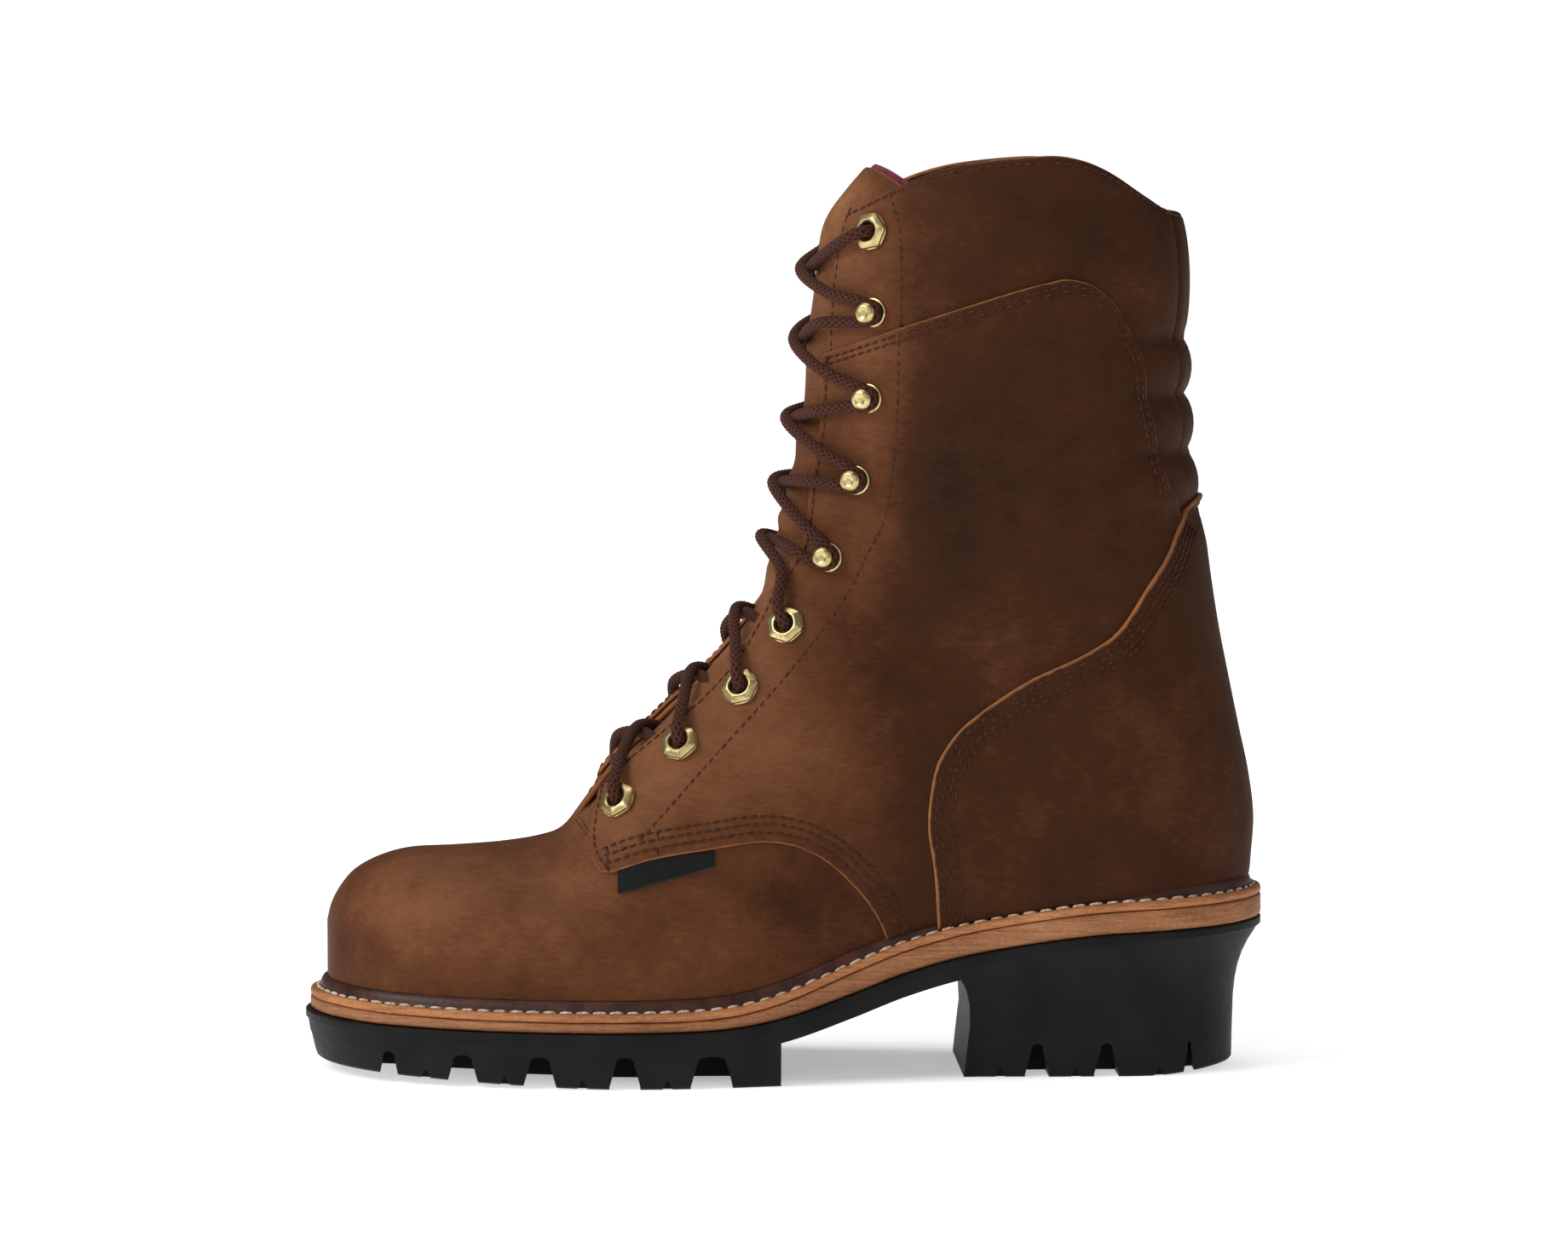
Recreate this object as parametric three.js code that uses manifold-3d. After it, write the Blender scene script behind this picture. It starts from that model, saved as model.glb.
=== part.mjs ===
// A lace-up logger work boot, left foot: leather upper on a stitched welt, a leather midsole
// and one moulded rubber unit with a high heel.
// X points to the toe, Y to the outer side of the foot, Z up, in millimetres. The origin lies
// on the floor under the middle of the heel.
import * as THREE from 'three';
import { mergeVertices } from 'three/addons/utils/BufferGeometryUtils.js';
import Module from 'manifold-3d';

const wasm = await Module();
wasm.setup();

// Driving dimensions
const lastLength = 302.5;      // feather line, where upper meets welt, heel to toe
const ballWidth = 102;         // feather line across the ball
const shaftHeight = 238.4;     // from the heel seat to the top of the collar
const heelHeight = 50.4;       // floor to the top of the rubber at the heel
const foreHeight = 18.5;       // floor to the top of the rubber at the ball
const toeSpring = 4;           // lift of the tread under the tip of the toe
const heelPoint = 46;          // from the back of the feather line to the middle of the heel
const clearance = 0.3;         // between curved pieces that meet

// Thicknesses of leather, board and webbing
const upperWall = 2.6;
const collarPadding = 3.2;     // what the padded collar adds to the wall
const panelThickness = 1.5;
const counterThickness = 2.6;
const tongueThickness = 2.6;
const liningThickness = 1.2;
const weltThickness = 4.9;
const midsoleFore = 3.2;
const midsoleHeel = 7;
const insoleThickness = 3;
const labelThickness = 0.8;

// Sole
const weltMargin = 5.6;        // how far the welt stands out from the feather line
const weltSeat = 10;           // how far the welt reaches in under the upper
const rubberLip = 1.6;         // how far the rubber's top band stands out past the welt
const lipHeight = 3;
const baseThickness = 7.6;     // rubber between its top and the roots of the lugs
const sideTaper = 3.4;         // how far the lugs draw in from the top band
const heelFlare = 9.5;         // how far the heel block draws in below the top band
const heelBevel = 2.4;         // lift of the heel's rear edge
const heelBreast = 93.5;       // front face of the heel, from the back of the feather line
const shankEnd = 153.6;        // rear face of the last lug, from the back of the feather line
const lugGapDepth = 30;        // how far a gap between lugs runs in from the side
const channelWidth = 5;        // channels round the blocks in the middle of the tread
const channelOut = 21;         // from the middle of the foot to a long channel's middle
const channelLeft = 2.5;       // rubber left over the roots of the lugs under a channel

// Padded rolls at the back of the shaft
const rollCount = 3;
const rollPitch = 18.8;
const rollRise = 3.2;
const rollTop = 179.5;         // top of the uppermost roll, above the heel seat
const collarRise = 3.6;        // how far the padded collar swells at the back
const collarDepth = 44;        // height of the padded collar at the back

// Brass and lace
const laceDiameter = 3.8;
const eyeletHole = 5.6;
const eyeletNut = 11;
const eyeletHeight = 2.6;
const eyeletBarrel = 7.2;
const hookBase = 9.7;
const hookCap = 7.2;
const hookHeight = 5.4;

const mix = (a, b, t) => a + (b - a) * t;
const clamp01 = (t) => Math.min(1, Math.max(0, t));
const smooth = (t) => clamp01(t) ** 2 * (3 - 2 * clamp01(t));

// A smooth curve through a table's column, with flat runs kept flat
function follow(rows, at, from, column) {
  let i = 0;
  while (i < rows.length - 2 && from > rows[i + 1][at]) i += 1;
  const [a, b] = [rows[i], rows[i + 1]];
  const before = rows[Math.max(i - 1, 0)];
  const after = rows[Math.min(i + 2, rows.length - 1)];
  const span = b[at] - a[at];
  const t = clamp01((from - a[at]) / span);
  const slopeA = (b[column] - before[column]) / (b[at] - before[at]) * span;
  const slopeB = (after[column] - a[column]) / (after[at] - a[at]) * span;
  const t2 = t * t;
  const t3 = t2 * t;
  return (2 * t3 - 3 * t2 + 1) * a[column] + (t3 - 2 * t2 + t) * slopeA
    + (3 * t2 - 2 * t3) * b[column] + (t3 - t2) * slopeB;
}

const table = (names, rows) => rows.map((row) => Object.fromEntries(row.map((v, i) => [names[i], v])));

// The rise of the sole from ball to heel, as a share of the difference of the two heights.
// s runs along the last from heel to toe.
const rise = table(['s', 'lift'], [
  [-0.03, 1], [0.08, 0.955], [0.18, 0.89], [0.30, 0.71], [0.37, 0.54], [0.43, 0.34],
  [0.50, 0.13], [0.56, 0.03], [0.64, 0], [0.80, 0], [0.92, 0.02], [1.03, 0.05],
]);

// Half widths of the feather line in shares of the ball width
const feather = table(['s', 'outer', 'inner'], [
  [0, 0, 0], [0.02, 0.175, 0.175], [0.05, 0.262, 0.258], [0.10, 0.320, 0.314],
  [0.20, 0.334, 0.322], [0.30, 0.326, 0.304], [0.40, 0.364, 0.306], [0.50, 0.440, 0.354],
  [0.60, 0.498, 0.436], [0.70, 0.508, 0.490], [0.80, 0.465, 0.485], [0.88, 0.400, 0.442],
  [0.94, 0.308, 0.362], [0.98, 0.172, 0.228], [1, -0.039, 0.039],
]);
for (const row of feather) row.turn = Math.acos(1 - 2 * row.s) / Math.PI;

const rubberTop = (x) => mix(foreHeight, heelHeight, follow(rise, 's', x / lastLength, 'lift'));
const midsoleAt = (x) => {
  const lift = clamp01(follow(rise, 's', x / lastLength, 'lift') / 0.5);
  return mix(midsoleFore, midsoleHeel, 1 - (1 - lift) ** 2);
};
const midsoleBase = (x) => rubberTop(x) + clearance;
const midsoleTop = (x) => midsoleBase(x) + midsoleAt(x);
const weltBase = (x) => midsoleTop(x) + clearance;
const weltTop = (x) => weltBase(x) + weltThickness;
const seat = (x) => weltTop(x) + clearance;
const heelSeat = seat(0);

function featherWidth(x, side) {
  const turn = Math.acos(1 - 2 * clamp01(x / lastLength)) / Math.PI;
  return ballWidth * follow(feather, 'turn', turn, side > 0 ? 'outer' : 'inner');
}

// Sections of the upper. Each is a plane across the foot from a low or back point to a top or
// front point: upright at the toe, fanned through instep and heel, nearly level in the shaft.
// low, high: place of the two points along the last. climb: the low point above the sole's
// seat, and top: the high point above it, in shares of the shaft's height. outer, inner: half
// widths in shares of the ball width. wide: where the section is widest, from its low point.
// under, over: how square it is below and above there.
const sections = table(['low', 'high', 'climb', 'top', 'outer', 'inner', 'wide', 'under', 'over'], [
  [1.000, 1.000, 0, 0.082, -0.039, 0.039, 0.42, 2.0, 2.4],
  [0.995, 0.995, 0, 0.106, 0.080, 0.143, 0.42, 2.0, 2.4],
  [0.985, 0.985, 0, 0.130, 0.160, 0.216, 0.42, 2.0, 2.4],
  [0.969, 0.969, 0, 0.153, 0.238, 0.292, 0.42, 2.0, 2.5],
  [0.942, 0.942, 0, 0.172, 0.324, 0.378, 0.42, 2.0, 2.5],
  [0.909, 0.909, 0, 0.184, 0.385, 0.432, 0.41, 2.0, 2.5],
  [0.863, 0.863, 0, 0.189, 0.436, 0.472, 0.40, 2.0, 2.4],
  [0.810, 0.810, 0, 0.196, 0.476, 0.497, 0.37, 2.1, 2.3],
  [0.764, 0.767, 0, 0.206, 0.499, 0.508, 0.35, 2.1, 2.2],
  [0.724, 0.741, 0, 0.221, 0.512, 0.505, 0.33, 2.2, 2.2],
  [0.681, 0.717, 0, 0.262, 0.520, 0.492, 0.32, 2.2, 2.3],
  [0.638, 0.691, 0, 0.308, 0.517, 0.472, 0.32, 2.2, 2.5],
  [0.592, 0.658, 0, 0.349, 0.504, 0.446, 0.32, 2.1, 2.6],
  [0.532, 0.625, 0, 0.382, 0.474, 0.422, 0.33, 2.0, 2.6],
  [0.460, 0.588, 0, 0.401, 0.436, 0.398, 0.35, 1.9, 2.5],
  [0.374, 0.557, 0, 0.411, 0.408, 0.384, 0.38, 1.9, 2.4],
  [0.281, 0.534, 0, 0.434, 0.389, 0.376, 0.41, 2.0, 2.3],
  [0.185, 0.526, 0, 0.452, 0.382, 0.373, 0.42, 2.1, 2.2],
  [0.096, 0.522, 0, 0.464, 0.378, 0.371, 0.42, 2.1, 2.1],
  [0.043, 0.520, 0, 0.473, 0.377, 0.371, 0.43, 2.1, 2.1],
  [0.013, 0.518, 0, 0.479, 0.377, 0.372, 0.43, 2.1, 2.1],
  [0.000, 0.517, 0, 0.487, 0.378, 0.373, 0.43, 2.1, 2.1],
  [-0.004, 0.515, 0.038, 0.500, 0.380, 0.376, 0.44, 2.1, 2.0],
  [-0.006, 0.512, 0.088, 0.516, 0.383, 0.379, 0.44, 2.1, 2.0],
  [0.000, 0.508, 0.147, 0.533, 0.388, 0.385, 0.44, 2.1, 2.0],
  [0.010, 0.505, 0.206, 0.554, 0.392, 0.389, 0.44, 2.1, 2.0],
  [0.021, 0.501, 0.273, 0.575, 0.398, 0.395, 0.45, 2.1, 2.0],
  [0.033, 0.497, 0.349, 0.600, 0.408, 0.404, 0.45, 2.1, 1.95],
  [0.042, 0.493, 0.420, 0.630, 0.419, 0.415, 0.45, 2.1, 1.9],
  [0.049, 0.490, 0.487, 0.659, 0.431, 0.426, 0.46, 2.1, 1.85],
  [0.060, 0.485, 0.596, 0.714, 0.449, 0.443, 0.46, 2.1, 1.85],
  [0.064, 0.4815, 0.700, 0.775, 0.462, 0.456, 0.46, 2.1, 1.85],
  [0.068, 0.477, 0.800, 0.835, 0.471, 0.465, 0.46, 2.1, 1.85],
  [0.0695, 0.466, 0.900, 0.910, 0.476, 0.469, 0.46, 2.1, 1.85],
  [0.075, 0.445, 0.965, 0.968, 0.477, 0.470, 0.46, 2.1, 1.85],
  [0.083, 0.4165, 1.036, 1.032, 0.477, 0.470, 0.46, 2.1, 1.85],
]);
sections.forEach((row, i) => { row.u = i; });
const lastSection = sections.length - 1;
const heelRow = 21;            // the section that starts at the back of the feather line
const trim = 1.5;              // how far sections reach below the seat before it is cut level
const widestRoot = 0.985;      // at most this share of a section's width at the feather line
const noseLean = -0.039 * ballWidth;   // the toe's tip lies a little to the inner side

function sectionAt(u) {
  const get = (name) => follow(sections, 'u', u, name);
  const low = get('low') * lastLength;
  const base = seat(low);
  return {
    low: [low, base + get('climb') * shaftHeight - (u <= heelRow ? trim : 0)],
    high: [get('high') * lastLength, base + get('top') * shaftHeight],
    lean: noseLean * smooth((low / lastLength - 0.7) / 0.3),
    outer: get('outer') * ballWidth,
    inner: get('inner') * ballWidth,
    wide: get('wide'),
    under: get('under'),
    over: get('over'),
  };
}

// A point of the upper's surface: u picks the section, turn runs from the feather line or the
// back (0) to the top or front (1), side is +1 on the outer side and -1 on the inner side.
function bare(u, turn, side) {
  const cut = sectionAt(u);
  const half = side > 0 ? cut.outer - cut.lean : cut.inner + cut.lean;
  const foot = u < heelRow ? featherWidth(cut.low[0], side) - side * cut.lean : 0;
  const root = half > 0.01 ? Math.min(widestRoot, clamp01(foot / half)) : widestRoot;
  const lower = turn < 0.5;
  const square = 2 / (lower ? cut.under : cut.over);
  const start = lower ? Math.asin(root ** (1 / square)) : 0;
  const angle = lower ? mix(start, Math.PI / 2, 2 * turn) : turn * Math.PI;
  const away = Math.abs(Math.cos(angle)) ** square;
  const width = Math.max(0, Math.sin(angle)) ** square;
  const share = lower ? cut.wide * (1 - away / Math.cos(start) ** square)
    : cut.wide + (1 - cut.wide) * away;
  return new THREE.Vector3(
    mix(cut.low[0], cut.high[0], share),
    cut.lean + side * half * width,
    mix(cut.low[1], cut.high[1], share),
  );
}

// Padding of the rolls and of the collar, in millimetres along the surface's normal
function padding(point, turn) {
  const height = point.z - heelSeat;
  const atBack = 1 - smooth((turn - 0.16) / 0.2);
  const rollFoot = rollTop - rollCount * rollPitch;
  let puff = 0;
  if (height > rollFoot && height < rollTop) {
    puff = rollRise * Math.abs(Math.sin(Math.PI * (height - rollFoot) / rollPitch)) ** 0.7;
  } else if (height >= rollTop) {
    puff = collarRise * Math.sin(Math.PI * clamp01((height - rollTop) / collarDepth) ** 0.8) ** 0.6;
  }
  return puff * atBack;
}

function normalAt(u, turn, side) {
  const du = 0.02;
  const dt = 0.01;
  const t = Math.min(Math.max(turn, 0.03), 0.97);
  const here = Math.min(Math.max(u, du), lastSection - du);
  const along = bare(here + du, t, side).sub(bare(here - du, t, side));
  const across = bare(here, t + dt, side).sub(bare(here, t - dt, side));
  const normal = new THREE.Vector3().crossVectors(along, across).multiplyScalar(side).normalize();
  if (turn >= 0.999) {
    const run = bare(here + du, 1, side).sub(bare(here - du, 1, side));
    normal.set(run.z, 0, -run.x).normalize();
    if (normal.x < 0) normal.negate();
    if (u < 0.01) normal.set(0.8, 0, 0.6);
  } else if (u < 0.01) {
    normal.set(1, 0, 0);
  } else if (turn <= 0.001 && sectionAt(u).low[0] <= 0.01 * lastLength && u >= heelRow) {
    const run = bare(here + du, 0, side).sub(bare(here - du, 0, side));
    normal.set(-run.z, 0, run.x).normalize();
    if (normal.x > 0) normal.negate();
  }
  return normal;
}

// The surface moved along its normal. At the feather line it moves level, and the bottom
// moves straight up or down by the same amount.
function surface(u, turn, side, offset, padded = true) {
  const point = bare(u, turn, side);
  const puff = padded ? padding(point, turn) : 0;
  const normal = normalAt(u, turn, side);
  const corner = turn <= 0.001 && u < heelRow;
  if (corner) {
    normal.z = 0;
    normal.normalize().multiplyScalar(offset);
    normal.z = -offset;
    return point.add(normal);
  }
  return point.addScaledVector(normal, offset + puff);
}

// Closed meshes and booleans
function meshFrom(points, faces) {
  const seen = new Map();
  const places = [];
  const index = points.map((p) => {
    const key = [p.x, p.y, p.z].map((v) => Math.round(v * 2000)).join();
    if (!seen.has(key)) {
      seen.set(key, places.length / 3);
      places.push(p.x, p.y, p.z);
    }
    return seen.get(key);
  });
  const triangles = faces.map((f) => f.map((i) => index[i]))
    .filter(([a, b, c]) => a !== b && b !== c && a !== c);
  return new wasm.Manifold(new wasm.Mesh({
    numProp: 3,
    vertProperties: new Float32Array(places),
    triVerts: new Uint32Array(triangles.flat()),
  }));
}

// A skin over closed rings of equal count, with both ends closed by a fan, or by a strip where
// the ring is a thin sheet. The two halves of a ring have mirrored triangles, so that the
// outer and inner sides match.
const secondHalf = (i, count) => i >= count / 2;
function loft(rings, mirrored = secondHalf, asStrip = false) {
  const count = rings[0].length;
  const points = rings.flat();
  const faces = [];
  for (let r = 0; r < rings.length - 1; r += 1) {
    for (let i = 0; i < count; i += 1) {
      const j = (i + 1) % count;
      const [a, b] = [r * count + i, r * count + j];
      if (mirrored(i, count)) faces.push([a, b, a + count], [b, b + count, a + count]);
      else faces.push([a, b, b + count], [a, b + count, a + count]);
    }
  }
  const closeEnd = (start, turned) => {
    if (asStrip) {
      for (let i = 0; i < count / 2 - 1; i += 1) {
        const [a, b, c, d] = [i, i + 1, count - 2 - i, count - 1 - i].map((at) => start + at);
        faces.push(...(turned ? [[b, a, c], [c, a, d]] : [[a, b, c], [a, c, d]]));
      }
      return;
    }
    const middle = points.length;
    const ring = points.slice(start, start + count);
    points.push(ring.reduce((sum, p) => sum.add(p), new THREE.Vector3()).divideScalar(count));
    for (let i = 0; i < count; i += 1) {
      const [a, b] = [start + i, start + (i + 1) % count];
      faces.push(turned ? [b, a, middle] : [a, b, middle]);
    }
  };
  closeEnd(0, true);
  closeEnd((rings.length - 1) * count, false);
  const solid = meshFrom(points, faces);
  return solid.volume() < 0 ? meshFrom(points, faces.map(([a, b, c]) => [a, c, b])) : solid;
}

function solidOf(geometry) {
  geometry.deleteAttribute('normal');
  geometry.deleteAttribute('uv');
  const merged = mergeVertices(geometry, 1e-4);
  return new wasm.Manifold(new wasm.Mesh({
    numProp: 3,
    vertProperties: new Float32Array(merged.attributes.position.array),
    triVerts: new Uint32Array(merged.index.array),
  }));
}

// A slab between two widths whose side view is the given outline of [x, z] points
function sideCut(outline, yFrom, yTo) {
  const shape = new THREE.Shape(outline.map(([x, z]) => new THREE.Vector2(x, z)));
  const slab = new THREE.ExtrudeGeometry(shape, { depth: yTo - yFrom, bevelEnabled: false });
  slab.rotateX(Math.PI / 2);
  slab.translate(0, yTo, 0);
  return solidOf(slab);
}

const box = (x, y, z, middle) => solidOf(new THREE.BoxGeometry(x, y, z).translate(...middle));

// Sole pieces are plates on the feather line's outline
const outlineTurns = [0, 0.04, 0.09, 0.15, 0.22, 0.29, 0.36, 0.415, 0.44, 0.465, 0.49, 0.515, 0.54,
  0.57, 0.61, 0.67, 0.73, 0.79, 0.85, 0.91, 0.96, 1];
const alongAt = (turn) => lastLength * (1 - Math.cos(Math.PI * turn)) / 2;

const widest = 80;             // half width of a cut that takes the whole boot
const headroom = 40;           // how far a cut reaches past the boot
const outsideSteps = 9;
const insideSteps = 8;
const stations = [0, 1, 2, 3.3, 5, 7, 9, 11, 12.5, 14, 15.5, 17, 18.5, 20, 21, 22.5, 24.5, 27,
  29.25, 29.65, 30, 30.35, 30.75, 31.13, 31.5, 32.3, 33.2, 34.2, 35];
const insideStations = [0, 1, 2, 3.3, 5, 7, 8, 9, 11, 12.5, 14, 15.5, 17, 18.5, 20, 21, 23, 26,
  29, 31, 32, 33.2, 35];

// The whole last as a closed form, its surface moved by an offset that may vary
function form(offset, ranks = stations, steps = outsideSteps) {
  const amount = typeof offset === 'function' ? offset : () => offset;
  return loft(ranks.map((u) => {
    const at = (i, side) => surface(u, i / steps, side, amount(u, i / steps));
    const keel = at(0, 1).add(at(0, -1)).divideScalar(2);
    if (u < heelRow) keel.y = sectionAt(u).lean;
    const ring = [keel];
    for (let i = 0; i <= steps; i += 1) ring.push(at(i, 1));
    for (let i = steps - 1; i >= 0; i -= 1) ring.push(at(i, -1));
    return ring;
  }));
}

// Side view outlines, along the last and above the heel seat in shares of its height
const place = ([s, h]) => [s * lastLength, heelSeat + h * shaftHeight];
const smoothLine = (shares, steps) => new THREE.SplineCurve(
  shares.map(place).map(([x, z]) => new THREE.Vector2(x, z)),
).getPoints(steps).map((p) => [p.x, p.y]);

const collarLine = [[-0.07, 0.914], [0.073, 0.926], [0.106, 0.944], [0.155, 0.981], [0.193, 0.997],
  [0.231, 1], [0.316, 0.990], [0.374, 0.966], [0.435, 0.927], [0.52, 0.87]];
const vampSeam = [[0.386, -0.10], [0.397, -0.055], [0.411, -0.022], [0.430, 0.008], [0.457, 0.040],
  [0.489, 0.061], [0.528, 0.069], [0.582, 0.061], [0.645, 0.048], [0.694, 0.029]];
const quarterFront = [[0.706, 0.034], [0.711, 0.062], [0.707, 0.095], [0.701, 0.125], [0.70, 0.16]];
const counterEdge = [[0.336, -0.10], [0.342, 0.02], [0.349, 0.085], [0.345, 0.143], [0.337, 0.178],
  [0.319, 0.213], [0.292, 0.243], [0.241, 0.287], [0.183, 0.322], [0.146, 0.354],
  [0.116, 0.411], [0.094, 0.453], [0.076, 0.503], [0.050, 0.534]];
const quarterTop = [[0.097, 0.551], [0.109, 0.618], [0.119, 0.689], [0.124, 0.729], [0.136, 0.763],
  [0.152, 0.800], [0.175, 0.825], [0.200, 0.834], [0.218, 0.831], [0.271, 0.813], [0.377, 0.768],
  [0.430, 0.743], [0.56, 0.68]];

// The cut between the facings: half widths across the throat from its rounded foot to the top
const throatFoot = 9.35;
const throat = table(['u', 'half'], [
  [9.35, 1], [9.45, 6.5], [9.65, 10], [10, 12.5], [11, 14.5], [13, 16.5], [16, 17.5], [20, 18.2],
  [25, 19], [30, 20], [33, 20.5], [35, 21],
]);
const throatDepth = 17;
const throatHalf = (u) => follow(throat, 'u', u, 'half');

function throatCut() {
  const ranks = [9.35, 9.45, 9.65, 10, 10.5, 11, 12, 13, 15, 18, 22, 27, 30, 33, 35];
  return loft(ranks.map((u) => {
    const { low, high } = sectionAt(u);
    const way = new THREE.Vector2(high[0] - low[0], high[1] - low[1]).normalize();
    const corner = (reach, y) => new THREE.Vector3(high[0] + way.x * reach, y, high[1] + way.y * reach);
    const y = throatHalf(u);
    return [[-throatDepth, -y], [-throatDepth, y], [headroom, y], [headroom, -y]].map((at) => corner(...at));
  }));
}

// Where a point of the side view lies on the surface
function locate(x, z) {
  let best = { gap: Infinity };
  for (let u = 0; u <= lastSection; u += 0.5) {
    for (let turn = 0; turn <= 1; turn += 0.04) {
      const p = bare(u, turn, 1);
      const gap = Math.hypot(p.x - x, p.z - z);
      if (gap < best.gap) best = { gap, u, turn };
    }
  }
  for (let step = 0.25; step > 0.002; step /= 2) {
    for (const [a, b] of [[step, 0], [-step, 0], [0, step / 12], [0, -step / 12], [step, step / 12],
      [-step, step / 12], [step, -step / 12], [-step, -step / 12]]) {
      const u = Math.min(lastSection, Math.max(0, best.u + a));
      const turn = clamp01(best.turn + b);
      const p = bare(u, turn, 1);
      const gap = Math.hypot(p.x - x, p.z - z);
      if (gap < best.gap) best = { gap, u, turn };
    }
  }
  return best;
}

const group = new THREE.Group();
group.position.x = -heelPoint;

function finish(colour, roughness, metalness = 0) {
  return new THREE.MeshStandardMaterial({ color: colour, roughness, metalness });
}
const leather = finish(0x5b3522, 0.6);
const tongueLeather = finish(0x7a4d2c, 0.65);
const liningCloth = finish(0x6b1f2c, 0.9);
const weltLeather = finish(0xb27745, 0.6);
const rubber = finish(0x1c1c1d, 0.75);
const brass = finish(0xb59a58, 0.35, 1);
const laceCord = finish(0x3c241f, 0.9);
const blackCloth = finish(0x17171a, 0.9);
const board = finish(0xa98a62, 0.85);

function add(name, solid, material) {
  const { vertProperties, triVerts } = solid.getMesh();
  const geometry = new THREE.BufferGeometry();
  geometry.setAttribute('position', new THREE.BufferAttribute(vertProperties, 3));
  geometry.setIndex(new THREE.BufferAttribute(triVerts, 1));
  geometry.computeVertexNormals();
  const mesh = new THREE.Mesh(geometry, material);
  mesh.name = name;
  group.add(mesh);
}

function outlinePoint(turn, side, margin) {
  const at = (t) => {
    const x = alongAt(t);
    return new THREE.Vector2(x, side * featherWidth(x, side));
  };
  const step = 0.004;
  const along = at(Math.min(1, turn + step)).sub(at(Math.max(0, turn - step)));
  const out = new THREE.Vector2(-along.y, along.x).normalize().multiplyScalar(side);
  if (turn === 0) out.set(-1, 0);
  if (turn === 1) out.set(1, 0);
  return at(turn).addScaledVector(out, margin);
}

// A plate whose faces follow heights along the foot; margins grow it past the feather line
function plate(levels) {
  const rings = levels.map(({ margin, height }) => {
    const reach = typeof margin === 'function' ? margin : () => margin;
    const walk = (side) => outlineTurns.map((turn) => {
      const p = outlinePoint(turn, side, reach(alongAt(turn) / lastLength));
      return new THREE.Vector3(p.x, p.y, height(p.x));
    });
    const outer = walk(1);
    const inner = walk(-1);
    return { outer, inner };
  });
  const points = [];
  const faces = [];
  const count = outlineTurns.length;
  for (const { outer, inner } of rings) points.push(...outer, ...inner);
  const at = (ring, side, i) => ring * 2 * count + (side > 0 ? 0 : count) + i;
  const lastRing = rings.length - 1;
  for (let i = 0; i < count - 1; i += 1) {
    const [a, b, c, d] = [at(0, 1, i), at(0, 1, i + 1), at(0, -1, i + 1), at(0, -1, i)];
    faces.push([a, c, b], [a, d, c]);
    const top = lastRing * 2 * count;
    faces.push([a + top, b + top, c + top], [a + top, c + top, d + top]);
    for (let ring = 0; ring < lastRing; ring += 1) {
      for (const side of [1, -1]) {
        const [p, q] = [at(ring, side, i), at(ring, side, i + 1)];
        const [r, t] = [at(ring + 1, side, i + 1), at(ring + 1, side, i)];
        if (side > 0) faces.push([p, q, r], [p, r, t]);
        else faces.push([p, r, q], [p, t, r]);
      }
    }
  }
  const solid = meshFrom(points, faces);
  return solid.volume() < 0 ? meshFrom(points, faces.map(([a, b, c]) => [a, c, b])) : solid;
}

// How far each sole layer stands out: a little more round the heel
const weltReach = (s) => weltMargin + 2 * (1 - smooth(s / 0.25));
const lipReach = (s) => weltReach(s) + rubberLip * smooth(s / 0.3);
const treadFloor = (x) => toeSpring * smooth((x / lastLength - 0.62) / 0.42) ** 1.3;
const heelFloor = (x) => heelBevel * smooth((0.11 - x / lastLength) / 0.12);

function makeOutsole() {
  const band = plate([
    { margin: lipReach, height: (x) => rubberTop(x) - lipHeight },
    { margin: lipReach, height: rubberTop },
  ]);
  const base = plate([
    { margin: (s) => lipReach(s) - mix(heelFlare * 0.55, 1.4, smooth((s - 0.25) / 0.2)),
      height: (x) => rubberTop(x) - baseThickness },
    { margin: (s) => lipReach(s) - 0.5, height: (x) => rubberTop(x) - lipHeight + 0.2 },
  ]);
  const treadBlock = plate([
    { margin: (s) => lipReach(s) - sideTaper, height: treadFloor },
    { margin: (s) => lipReach(s) - 1.4, height: (x) => rubberTop(x) - baseThickness + 1 },
  ]).intersect(box(lastLength, 2 * widest, heelHeight,
    [shankEnd + lastLength / 2, 0, heelHeight / 2]));
  const heelSide = (share) => (s) => lipReach(s) - heelFlare * share;
  const level = (share) => (x) => mix(heelFloor(x), rubberTop(x) - lipHeight, share);
  const heelBlock = plate([
    { margin: heelSide(1), height: heelFloor },
    { margin: heelSide(0.95), height: level(0.47) },
    { margin: heelSide(0.79), height: level(0.7) },
    { margin: heelSide(0.42), height: level(0.89) },
    { margin: heelSide(0.05), height: level(1.02) },
  ]).intersect(sideCut([[-headroom, -5], [heelBreast, -5], [heelBreast - 2.5, heelHeight * 0.35],
    [heelBreast - 1, heelHeight * 0.58], [heelBreast + 5, rubberTop(heelBreast) - baseThickness + 1],
    [heelBreast + 5, heelHeight], [-headroom, heelHeight + 5]], -widest, widest));
  let sole = band.add(base).add(treadBlock).add(heelBlock);
  for (const cut of [...treadGaps(), ...heelGaps()]) sole = sole.subtract(cut);
  return sole;
}

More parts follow.
